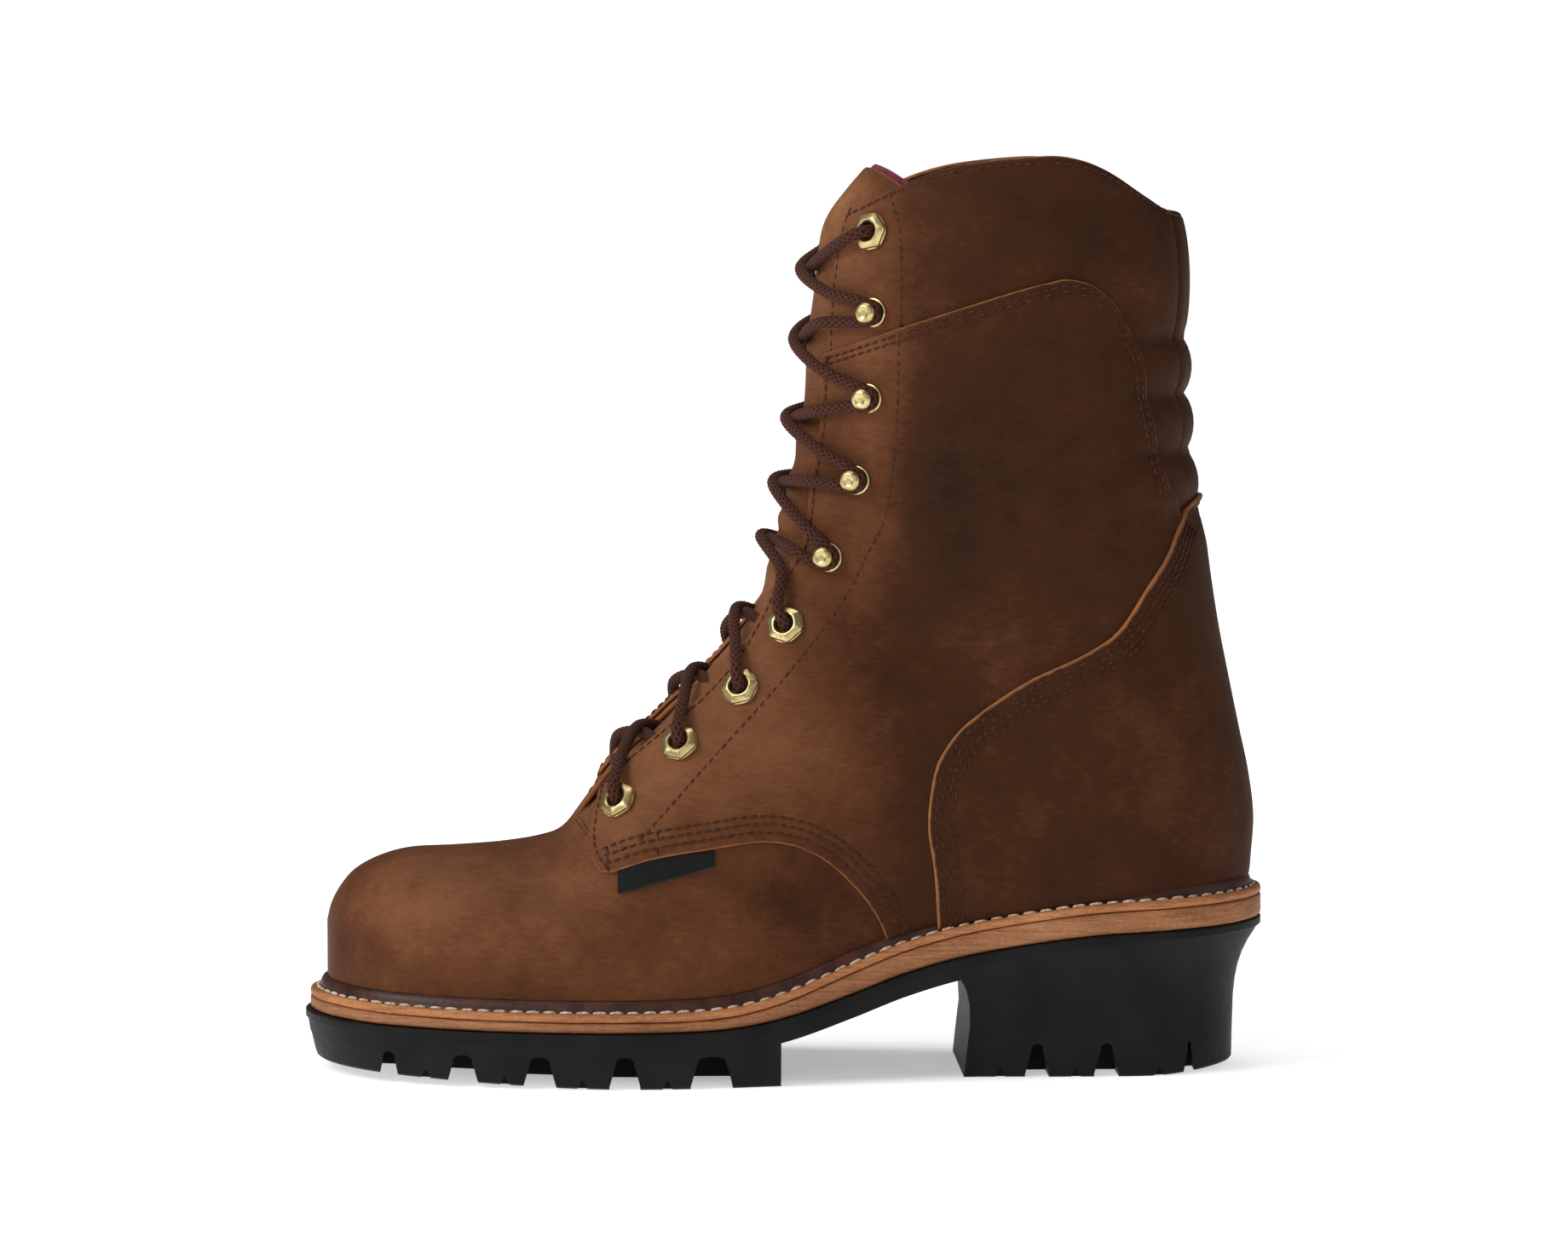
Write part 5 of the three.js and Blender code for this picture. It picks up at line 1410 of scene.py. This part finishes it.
def make_label():
    steps, down = 46, 14
    share = np.linspace(0, 1, steps)
    knots = np.linspace(0, 1, len(label["s"]))
    s, top, low = (np.interp(share, knots, label[name]) for name in ("s", "top", "bottom"))
    front_side, back_side = [], []
    for t in np.linspace(0, 1, down):
        h = blend(top, low, t)
        u, w = locate(s * LAST_LENGTH, HEEL_SEAT + h * SHAFT_HEIGHT, 1)
        hang = 0.15 + 0.75 * t ** 1.5 + 0.12 * np.sin(share * 5.3)
        front_side.append(surface(u, w, hang + 0.8 * rounded(np.full(steps, (1 - t) * 7), 0.5)))
        back_side.append(surface(u, w, hang))
    points = np.vstack(front_side + back_side)
    index = np.arange(steps * down).reshape(down, steps)
    faces = [(index[i, j], index[i + 1, j], index[i + 1, j + 1], index[i, j + 1])
             for i in range(down - 1) for j in range(steps - 1)]
    back = [tuple(v + steps * down for v in face[::-1]) for face in faces]
    rim = list(index[0]) + list(index[1:, -1]) + list(index[-1, -2::-1]) + list(index[-2:0:-1, 0])
    walls = [(a, b, b + steps * down, a + steps * down) for a, b in zip(rim, rim[1:] + rim[:1])]
    every = [tuple(int(v) for v in face) for face in faces + back + walls]
    return keep("side_label_ribbon", weld(mesh_of("side_label_ribbon", points, every)), sharp=50)


side_label = make_label()

# %% [markdown]
# Stitches repeat along every seam, so Geometry Nodes make them: each line becomes a curve, the
# curve is cut to the stitch length, and at each point stands one small rounded stitch, turned
# along the seam and up from the leather. A seam is a panel's edge moved inwards over the leather.

# %% Stitch lines
def leather_top(points):
    """Height of the topmost leather over the last at side-view points."""
    top = np.where(inside(points, quarter_outline), PANEL_TOP, 0.0)
    return np.where(inside(points, counter_outline), COUNTER_TOP, top)


def on_boot(curve, side):
    """(u, w) of the part of a side-view curve that lies on the boot."""
    u, w = locate(curve[:, 0], curve[:, 1], side)
    miss = np.linalg.norm(bare(u, w)[:, [0, 2]] - curve, axis=1)
    keep_them = miss < 0.4
    return u[keep_them], w[keep_them]


def sideways(u, w, side, distance_in):
    """The points of a line, and a step from each over the leather, square to the line. The step
    goes to the left as the outer side is seen along the line."""
    here = bare(u, w)
    aside = np.cross(np.gradient(here, axis=0), normal(u, w)) * side
    return here, aside * (distance_in / np.maximum(np.linalg.norm(aside, axis=1, keepdims=True), 1e-9))


def inset(u, w, distance_in, side, steps=5):
    """A line moved over the leather, worked out in u and w. It serves on top of the foot."""
    for _ in range(steps):
        here, aside = sideways(u, w, side, distance_in / steps)
        by_u = (bare(u + 0.02, w) - here) / 0.02
        by_w = (bare(u, w + 0.002) - here) / 0.002
        a, b, c = (np.sum(p * q, axis=1) for p, q in ((by_u, by_u), (by_u, by_w), (by_w, by_w)))
        p, q = np.sum(by_u * aside, axis=1), np.sum(by_w * aside, axis=1)
        det = np.maximum(a * c - b * b, 1e-6)
        u, w = u + (c * p - b * q) / det, w + (a * q - b * p) / det
    return u, w


def beside_curve(curve, side, distance_in, steps=3):
    """The line on the boot at a distance over the leather from a side-view curve."""
    for _ in range(steps if distance_in else 0):
        here, aside = sideways(*on_boot(curve, side), side, distance_in / steps)
        curve = (here + aside)[:, [0, 2]]
    return on_boot(curve, side)


stitch_lines = []


def sew(u, w, top=None, sink=0.12, clear_throat=0.0):
    """Adds a line of points and normals for stitches, left out where the throat is open."""
    point = bare(u, w)
    height = leather_top(point[:, [0, 2]]) if top is None else np.full(len(u), top)
    rim = np.interp(point[:, 0], collar_curve[:, 0], collar_curve[:, 1])
    good = (u > 0.3) & (u < LAST_SECTION) & (point[:, 2] < rim - 0.8)
    if clear_throat:
        open_to = throat_half(u, point[:, 1] > 0) + clear_throat
        good &= ~((split_way(w)[1] > 0.5) & (np.abs(point[:, 1]) < open_to))
    if good.sum() > 3:
        stitch_lines.append((surface(u, w, height - sink)[good], normal(u, w)[good]))


def sew_rows(curve, side, distances, sign=1, **settings):
    for distance_in in distances:
        sew(*beside_curve(curve, side, sign * distance_in), **settings)


facing_u = np.linspace(10.2, 34.2, 260)
for side in (1, -1):
    sew_rows(seam_curve, side, VAMP_ROWS, sign=1, top=PANEL_TOP)
    sew_rows(front_curve, side, (2.6,), sign=1, top=PANEL_TOP, clear_throat=1.5)
    sew_rows(top_curve, side, TOP_ROWS, sign=-1, top=PANEL_TOP, clear_throat=2.0)
    sew_rows(spline(place(COUNTER_EDGE)), side, COUNTER_ROWS, sign=1, top=COUNTER_TOP)
    sew_rows(spline(place(FACING_REAR)), side, (0.0,))
    sew_rows(collar_curve, side, (COLLAR_ROW,), sign=-1, top=0, clear_throat=1.0)
    turn = throat_turn(facing_u, side)
    sew(*inset(facing_u, turn if side > 0 else 2 - turn, FACING_ROW, side), top=None)
    for z in (ROLL_TOP, ROLL_TOP - ROLL_PITCH, ROLL_TOP - 2 * ROLL_PITCH):
        level = np.column_stack([np.linspace(2, 38, 30), np.full(30, HEEL_SEAT + z)])
        sew_rows(level, side, (0.0,), top=0, sink=0.25)
    for x_bar, z_low in ((193.5, 76.5), (209.0, 71.0)):
        bar = np.column_stack([np.full(8, x_bar), np.linspace(z_low, z_low + 5.6, 8)])
        sew_rows(bar, side, (0.0,), top=PANEL_TOP)
    for shift in (0.0, 2.0):
        tab = spline([(225.5, 86.2 + shift), (219, 83.0 + shift), (214.5, 79.0 + shift)])
        sew_rows(tab, side, (0.0,), top=0, sink=0.1)
print("stitch lines", len(stitch_lines))


# %% Stitches by Geometry Nodes
def stitch_tree():
    tree = bpy.data.node_groups.new("stitches along lines", "GeometryNodeTree")
    face = tree.interface
    face.new_socket("Geometry", in_out="INPUT", socket_type="NodeSocketGeometry")
    for title, value in (("Pitch", 0.003), ("Length", 0.0024), ("Thickness", 0.0008), ("Slant", 0.15)):
        face.new_socket(title, in_out="INPUT", socket_type="NodeSocketFloat").default_value = value
    face.new_socket("Thread", in_out="INPUT", socket_type="NodeSocketMaterial")
    face.new_socket("Geometry", in_out="OUTPUT", socket_type="NodeSocketGeometry")
    given = put(tree, "NodeGroupInput").outputs
    line = put(tree, "GeometryNodeMeshToCurve", {"Mesh": given["Geometry"]}).outputs["Curve"]
    places = put(tree, "GeometryNodeResampleCurve", {"Curve": line, "Length": given["Pitch"]}, mode="LENGTH")
    ball = put(tree, "GeometryNodeMeshUVSphere", {"Segments": 6, "Rings": 5, "Radius": 0.5})
    lying = put(tree, "GeometryNodeTransform", {"Geometry": ball.outputs["Mesh"],
                                                "Rotation": (0, math.radians(90), 0)})
    size = put(tree, "ShaderNodeCombineXYZ", {"X": given["Length"], "Y": given["Thickness"],
                                              "Z": given["Thickness"]})
    vary = put(tree, "FunctionNodeRandomValue", {"Min": 0.88, "Max": 1.08, "Seed": 7}, data_type="FLOAT")
    scaled = put(tree, "ShaderNodeVectorMath", {"Vector": size.outputs["Vector"],
                                                "Scale": vary.outputs["Value"]}, operation="SCALE")
    tangent = put(tree, "GeometryNodeInputTangent").outputs["Tangent"]
    upwards = put(tree, "GeometryNodeInputNamedAttribute", {"Name": "up"}, data_type="FLOAT_VECTOR")
    along = put(tree, "FunctionNodeAlignRotationToVector", {"Vector": tangent}, axis="X")
    upright = put(tree, "FunctionNodeAlignRotationToVector", {
        "Rotation": along.outputs["Rotation"], "Vector": upwards.outputs["Attribute"],
    }, axis="Z", pivot_axis="X")
    slant = put(tree, "FunctionNodeAxisAngleToRotation", {"Axis": (0, 0, 1), "Angle": given["Slant"]})
    slanted = put(tree, "FunctionNodeRotateRotation", {
        "Rotation": upright.outputs["Rotation"], "Rotate By": slant.outputs["Rotation"],
    }, rotation_space="LOCAL")
    stand = put(tree, "GeometryNodeInstanceOnPoints", {
        "Points": places.outputs["Curve"], "Instance": lying.outputs["Geometry"],
        "Rotation": slanted.outputs["Rotation"], "Scale": scaled.outputs["Vector"],
    })
    real = put(tree, "GeometryNodeRealizeInstances", {"Geometry": stand.outputs["Instances"]})
    dyed = put(tree, "GeometryNodeSetMaterial", {"Geometry": real.outputs["Geometry"],
                                                 "Material": given["Thread"]})
    put(tree, "NodeGroupOutput", {"Geometry": dyed.outputs["Geometry"]})
    return tree


stitches = stitch_tree()


def sewn(name, lines, thread, **values):
    """Runs the tree over lines of (points, normals) and keeps the result as a plain mesh."""
    points = np.vstack([line for line, _ in lines])
    outs = np.vstack([out for _, out in lines])
    starts = np.cumsum([0] + [len(line) for line, _ in lines])
    edges = [(i, i + 1) for a, b in zip(starts[:-1], starts[1:]) for i in range(a, b - 1)]
    mesh = mesh_of(name, points, [], edges)
    mesh.attributes.new("up", "FLOAT_VECTOR", "POINT").data.foreach_set("vector", outs.ravel())
    carrier = bpy.data.objects.new(name, mesh)
    bpy.context.scene.collection.objects.link(carrier)
    modifier = carrier.modifiers.new("stitches", "NODES")
    modifier.node_group = stitches
    for item in stitches.interface.items_tree:
        if item.in_out == "INPUT" and item.name in values:
            modifier[item.identifier] = values[item.name]
        if item.in_out == "INPUT" and item.name == "Thread":
            modifier[item.identifier] = thread
    bpy.context.view_layer.update()
    made = bpy.data.meshes.new_from_object(carrier.evaluated_get(bpy.context.evaluated_depsgraph_get()))
    made.name = name
    bpy.data.objects.remove(carrier)
    return keep(name, made)


# %% [markdown]
# Finishes come next. What several of them share is a node group: the mottling of waxed leather,
# its grain, its worn edges, and fibres that run one way. A group gives out only colours, masks
# and heights, and each material has its own shader.

# %% Node helpers
def group(name, inputs, outputs):
    made = bpy.data.node_groups.new(name, "ShaderNodeTree")
    kinds = {"v": "NodeSocketVector", "f": "NodeSocketFloat", "c": "NodeSocketColor"}
    for title, kind, value in inputs:
        socket = made.interface.new_socket(title, in_out="INPUT", socket_type=kinds[kind])
        if value is not None:
            socket.default_value = value
    for title, kind in outputs:
        made.interface.new_socket(title, in_out="OUTPUT", socket_type=kinds[kind])
    return made, made.nodes.new("NodeGroupInput").outputs, made.nodes.new("NodeGroupOutput").inputs


def maths(tree, operation, a, b=0.0, clamp=False):
    return put(tree, "ShaderNodeMath", {0: a, 1: b}, operation=operation, use_clamp=clamp).outputs[0]


def noise(tree, vector, scale, detail=3.0, rough=0.55):
    return put(tree, "ShaderNodeTexNoise", {"Vector": vector, "Scale": scale, "Detail": detail,
                                            "Roughness": rough}).outputs["Fac"]


def ramp(tree, value, stops):
    made = put(tree, "ShaderNodeValToRGB", {"Fac": value})
    line = made.color_ramp
    while len(line.elements) < len(stops):
        line.elements.new(0.5)
    for element, (at, colour) in zip(line.elements, stops):
        element.position = at
        element.color = (*colour, 1) if len(colour) == 3 else colour
    return made.outputs["Color"]


def mixed(tree, share, a, b):
    return put(tree, "ShaderNodeMix", {0: share, 6: a, 7: b}, data_type="RGBA").outputs[2]


def total(tree, *parts):
    """The sum of values, each times its weight."""
    weighted = [maths(tree, "MULTIPLY", value, weight) for value, weight in parts]
    result = weighted[0]
    for part in weighted[1:]:
        result = maths(tree, "ADD", result, part)
    return result


def graded(tree, value, times, plus):
    return maths(tree, "ADD", maths(tree, "MULTIPLY", value, times), plus)


def mapped(tree, vector, scale, **settings):
    return put(tree, "ShaderNodeMapping", {"Vector": vector, "Scale": scale, **settings}).outputs["Vector"]


# %% Shared effects
def pull_up_group():
    """Mottled tone of waxed leather: broad clouds, small clouds and fine rubbing."""
    tree, given, out = group("pull-up mottling", [
        ("Vector", "v", None), ("Tone", "f", 0.0), ("Clouds", "f", 0.3), ("Rubbing", "f", 0.1),
    ], [("Value", "f")])
    stretched = mapped(tree, given["Vector"], (260.0, 420.0, 900.0), Rotation=(0.0, 0.5, 0.0))
    broad, small, fine = (maths(tree, "SUBTRACT", noise(tree, *settings), 0.5) for settings in (
        (given["Vector"], 22.0, 3.0, 0.6), (given["Vector"], 95.0, 4.0, 0.65), (stretched, 1.0, 4.0, 0.7)))
    value = total(tree, (broad, given["Clouds"]), (small, maths(tree, "MULTIPLY", given["Clouds"], 0.6)),
                  (fine, given["Rubbing"]))
    tree.links.new(maths(tree, "ADD", value, given["Tone"]), out["Value"])
    return tree


def grain_group():
    """Height of leather grain: small soft cells with fine pores."""
    tree, given, out = group("leather grain", [("Vector", "v", None), ("Cells", "f", 900.0)], [("Height", "f")])
    cells = put(tree, "ShaderNodeTexVoronoi", {"Vector": given["Vector"], "Scale": given["Cells"]},
                feature="SMOOTH_F1").outputs["Distance"]
    pores = noise(tree, given["Vector"], 2600.0, 2.0)
    waves = noise(tree, given["Vector"], 160.0, 3.0)
    tree.links.new(total(tree, (cells, 0.5), (pores, 0.35), (waves, 0.9)), out["Height"])
    return tree


def edge_group():
    """Mask that is 1 along a panel's cut edge and breaks up inwards."""
    tree, given, out = group("worn edge", [
        ("Vector", "v", None), ("Distance", "f", 1.0), ("Width", "f", 0.8),
    ], [("Mask", "f")])
    ragged = maths(tree, "MULTIPLY", noise(tree, given["Vector"], 260.0, 3.0), 1.4)
    reach = maths(tree, "MULTIPLY", given["Width"], ragged)
    share = maths(tree, "DIVIDE", given["Distance"], maths(tree, "MAXIMUM", reach, 0.01))
    tree.links.new(maths(tree, "SUBTRACT", 1.0, share, clamp=True), out["Mask"])
    return tree


def fibre_group():
    """Streaks and specks of cut leather that run along the boot's sole."""
    tree, given, out = group("cut leather fibres", [("Vector", "v", None), ("Streaks", "f", 1.0)],
                             [("Streak", "f"), ("Speck", "f")])
    stretched = mapped(tree, given["Vector"], (90.0, 90.0, 1400.0))
    close = mapped(tree, given["Vector"], (700.0, 700.0, 1600.0))
    streak = maths(tree, "MULTIPLY", noise(tree, stretched, 1.0, 4.0, 0.65), given["Streaks"])
    tree.links.new(streak, out["Streak"])
    tree.links.new(noise(tree, close, 1.0, 3.0, 0.7), out["Speck"])
    return tree


pull_up, grain, worn_edge, fibres = pull_up_group(), grain_group(), edge_group(), fibre_group()


def use(tree, shared, inputs):
    return put(tree, "ShaderNodeGroup", inputs, node_tree=shared).outputs


def blank(name, **sockets):
    """A material with its shader's fixed numbers set on the shader's own sockets."""
    made = bpy.data.materials.new(name)
    made.use_nodes = True
    shader = made.node_tree.nodes["Principled BSDF"]
    for key, value in sockets.items():
        shader.inputs[key.replace("_", " ")].default_value = value
    place_on = put(made.node_tree, "ShaderNodeTexCoord").outputs["Object"]
    return made, made.node_tree, shader, place_on


def finish(tree, shader, colour, roughness, height, strength, distance):
    """Links what changes over a material: its colour, its roughness and its fine relief."""
    relief = put(tree, "ShaderNodeBump", {"Height": height, "Strength": strength, "Distance": distance})
    tree.links.new(colour, shader.inputs["Base Color"])
    tree.links.new(roughness, shader.inputs["Roughness"])
    tree.links.new(relief.outputs["Normal"], shader.inputs["Normal"])


def attribute(tree, name):
    return put(tree, "ShaderNodeAttribute", attribute_name=name).outputs["Fac"]


# %% Leathers
OLIVE = (0.020, 0.0086, 0.0034)
DEEP = (0.050, 0.0163, 0.0055)
BODY = (0.112, 0.039, 0.015)
WARM = (0.195, 0.078, 0.033)
LIGHT = (0.34, 0.155, 0.072)
RAW_EDGE = (0.42, 0.17, 0.065, 1)


def leather(name, lift=0.0, clouds=0.34, rubbing=0.22, edge_width=0.8, edge_share=0.75):
    made, tree, shader, at = blank(name, IOR=1.45, Specular_IOR_Level=0.09)
    # The tone attribute holds the leather's own tone together with painted shade and light.
    tone = maths(tree, "ADD", attribute(tree, "tone"), 0.5 + lift)
    value = use(tree, pull_up, {"Vector": at, "Tone": tone, "Clouds": clouds, "Rubbing": rubbing})["Value"]
    colour = ramp(tree, value, [(0.15, OLIVE), (0.35, DEEP), (0.52, BODY), (0.70, WARM), (0.95, LIGHT)])
    distance = attribute(tree, "edge")
    mask = use(tree, worn_edge, {"Vector": at, "Distance": distance, "Width": edge_width})["Mask"]
    colour = mixed(tree, maths(tree, "MULTIPLY", mask, edge_share), colour, RAW_EDGE)
    height = use(tree, grain, {"Vector": at})["Height"]
    finish(tree, shader, colour, graded(tree, value, -0.12, 0.68), height, 0.35, 0.0004)
    return made


upper_leather = leather("upper leather")
quarter_leather = leather("quarter leather")
counter_leather = leather("counter leather", edge_width=1.3, edge_share=0.9)
tongue_leather = leather("tongue leather", lift=0.05, clouds=0.4, rubbing=0.3)


def sole_leather(name, dark, mid, light):
    made, tree, shader, at = blank(name, IOR=1.45, Specular_IOR_Level=0.3)
    marks = use(tree, fibres, {"Vector": at})
    clouds = maths(tree, "SUBTRACT", noise(tree, at, 30.0), 0.5)
    value = total(tree, (marks["Streak"], 0.6), (marks["Speck"], 0.4), (clouds, 0.35))
    finish(tree, shader, ramp(tree, value, [(0.3, dark), (0.5, mid), (0.68, light)]),
           graded(tree, value, -0.3, 0.75), value, 0.5, 0.0003)
    return made


welt_leather = sole_leather("welt leather", (0.20, 0.065, 0.026), (0.40, 0.155, 0.058), (0.58, 0.27, 0.11))
midsole_leather = sole_leather("midsole leather", (0.15, 0.055, 0.022), (0.31, 0.125, 0.050),
                               (0.44, 0.20, 0.09))


def bead_leather():
    made, tree, shader, at = blank("welt bead", IOR=1.5, Specular_IOR_Level=0.32)
    value = noise(tree, at, 160.0, 4.0)
    finish(tree, shader, ramp(tree, value, [(0.3, (0.020, 0.006, 0.003)), (0.7, (0.070, 0.020, 0.009))]),
           graded(tree, value, 0.3, 0.3), noise(tree, at, 500.0, 3.0), 0.4, 0.0005)
    return made


welt_bead = bead_leather()


# %% Rubber, brass, cloth and thread
def moulded_rubber():
    made, tree, shader, at = blank("moulded rubber", IOR=1.5, Specular_IOR_Level=0.13)
    value = noise(tree, at, 60.0, 4.0)
    drawn = mapped(tree, at, (120.0, 120.0, 2200.0))
    height = total(tree, (noise(tree, drawn, 1.0, 3.0), 1.0), (noise(tree, at, 1500.0), 0.8))
    black = ramp(tree, value, [(0.3, (0.004, 0.004, 0.004)), (0.7, (0.011, 0.0105, 0.010))])
    finish(tree, shader, black, graded(tree, noise(tree, at, 240.0), 0.25, 0.42), height, 0.35, 0.0003)
    return made


def aged_brass():
    made, tree, shader, at = blank("aged brass", Metallic=1.0)
    value = total(tree, (noise(tree, at, 420.0, 4.0), 0.6), (noise(tree, at, 1800.0, 3.0), 0.4))
    stops = [(0.3, (0.30, 0.22, 0.085)), (0.5, (0.56, 0.44, 0.20)), (0.7, (0.72, 0.60, 0.33))]
    finish(tree, shader, ramp(tree, value, stops), graded(tree, value, -0.36, 0.5),
           noise(tree, at, 900.0, 3.0), 0.12, 0.0002)
    return made


def thread(name, dark, light):
    made, tree, shader, at = blank(name, IOR=1.45, Specular_IOR_Level=0.3)
    value = noise(tree, at, 900.0, 3.0)
    finish(tree, shader, ramp(tree, value, [(0.35, dark), (0.65, light)]), graded(tree, value, 0.2, 0.6),
           noise(tree, at, 4000.0, 2.0), 0.5, 0.0001)
    return made


def braid():
    """Two crossing sets of yarns on the lace's own map: metres along, turns round. The crossing pattern also
    paints the colour darker in the grooves between the yarns: painted shade.
    """
    made, tree, shader, at = blank("braided lace", IOR=1.45, Specular_IOR_Level=0.12, Sheen_Weight=0.12,
                                   Sheen_Roughness=0.5)
    shader.inputs["Sheen Tint"].default_value = (0.6, 0.35, 0.3, 1)
    chart = put(tree, "ShaderNodeTexCoord").outputs["UV"]
    split = put(tree, "ShaderNodeSeparateXYZ", {"Vector": chart}).outputs
    lengthways = maths(tree, "MULTIPLY", split["X"], 2 * math.pi / 0.0026)
    round_it = maths(tree, "MULTIPLY", split["Y"], 2 * math.pi * 6)
    left = maths(tree, "COSINE", maths(tree, "ADD", lengthways, round_it))
    right = maths(tree, "COSINE", maths(tree, "SUBTRACT", lengthways, round_it))
    plait = maths(tree, "MAXIMUM", left, right)
    fuzz = noise(tree, at, 2600.0, 3.0)
    # The plait lightens the yarns' crests and darkens the grooves between them: painted shade, besides the
    # relief from the same pattern.
    value = total(tree, (plait, 0.22), (fuzz, 0.8))
    stops = [(0.2, (0.014, 0.004, 0.002)), (0.5, (0.046, 0.016, 0.010)), (0.8, (0.12, 0.044, 0.028))]
    finish(tree, shader, ramp(tree, value, stops), graded(tree, fuzz, 0.15, 0.75), value, 0.6, 0.0004)
    return made


def cloth(name, dark, light, across, ribs):
    """Woven cloth: threads of one size both ways, with deeper ribs one way."""
    made, tree, shader, at = blank(name, IOR=1.45, Specular_IOR_Level=0.15, Sheen_Weight=0.15)
    split = put(tree, "ShaderNodeSeparateXYZ", {"Vector": at}).outputs
    level = maths(tree, "ADD", split["X"], split["Y"])
    tilted = total(tree, (split["Z"], 1.0), (split["X"], 0.25))
    weave = maths(tree, "MULTIPLY", maths(tree, "SINE", maths(tree, "MULTIPLY", level, across)),
                  maths(tree, "SINE", maths(tree, "MULTIPLY", tilted, ribs)))
    value = total(tree, (weave, 0.2), (noise(tree, at, 1200.0, 3.0), 1.0))
    finish(tree, shader, ramp(tree, value, [(0.3, dark), (0.7, light)]), graded(tree, value, 0.15, 0.75),
           value, 0.5, 0.0003)
    return made


rubber = moulded_rubber()
brass = aged_brass()
dark_thread = thread("dark thread", (0.020, 0.005, 0.002), (0.080, 0.022, 0.009))
welt_thread = thread("welt thread", (0.42, 0.27, 0.19), (0.80, 0.68, 0.55))
lace_braid = braid()
burgundy = cloth("burgundy lining", (0.075, 0.006, 0.014), (0.22, 0.018, 0.040), 3600, 3600)
ribbon = cloth("black ribbon", (0.003, 0.003, 0.003), (0.012, 0.0115, 0.012), 9000, 7000)
board = cloth("insole board", (0.24, 0.15, 0.08), (0.42, 0.30, 0.17), 1500, 1500)

# %% Sewing and assigning
upper_stitches = sewn("upper_stitches", stitch_lines, dark_thread,
                      Pitch=0.0031, Length=0.0026, Thickness=0.00085, Slant=0.12)
groove = ring(edge_turns, step_in(welt_reach, 2.55), raised(welt_top, -2.1))
groove = np.vstack([groove, groove[:1]])
welt_stitches = sewn("welt_stitches", [(groove, np.tile((0.0, 0.0, 1.0), (len(groove), 1)))], welt_thread,
                     Pitch=0.0054, Length=0.0044, Thickness=0.0013, Slant=0.10)

for piece, finishes in (
    (upper, [upper_leather, burgundy]), (quarter_outer, [quarter_leather]),
    (quarter_inner, [quarter_leather]),
    (heel_counter, [counter_leather]), (tongue, [tongue_leather]), (tongue_lining, [burgundy]),
    (welt, [welt_leather, welt_bead]), (midsole, [midsole_leather]), (outsole, [rubber]), (eyelets, [brass]),
    (hooks, [brass]), (lace, [lace_braid]), (side_label, [ribbon]),
):
    slots = np.zeros(len(piece.data.polygons), np.int32)
    piece.data.polygons.foreach_get("material_index", slots)
    piece.data.materials.clear()
    for finish_of in finishes:
        piece.data.materials.append(finish_of)
    piece.data.polygons.foreach_set("material_index", slots)
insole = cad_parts["insole"]
for material_slot in insole.material_slots:
    material_slot.material = board

# %% [markdown]
# Last, every piece is tied to the body, and the imported solids that it stands for are hidden.

# %% Tie the pieces to the frame
both = ("outer", "inner")
eyelet_nodes = [f"eyelet_{tag}_{row + 1}" for tag in both for row in EYELETS]
hook_nodes = [f"hook_{tag}_{row + 1}" for tag in both for row in HOOKS]
lace_nodes = [f"lace_crossing_{row + 1}" for row in range(TOP_ROW)]
for piece, slot_name, nodes in (
    (upper, "upper_leather", ["upper"]), (quarter_outer, "upper_leather", ["quarter_outer"]),
    (quarter_inner, "upper_leather", ["quarter_inner"]), (heel_counter, "upper_leather", ["heel_counter"]),
    (tongue, "tongue_leather", ["tongue"]), (tongue_lining, "lining_cloth", ["tongue_lining"]),
    (welt, "sole_leather", ["welt"]), (midsole, "sole_leather", ["midsole"]),
    (outsole, "rubber", ["outsole"]),
    (eyelets, "brass", eyelet_nodes), (hooks, "brass", hook_nodes), (lace, "lace_cord", lace_nodes),
    (side_label, "label_cloth", ["side_label"]), (upper_stitches, "lace_cord", []),
    (welt_stitches, "sole_leather", []),
):
    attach(piece, "root")
    if nodes:
        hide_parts(*nodes)
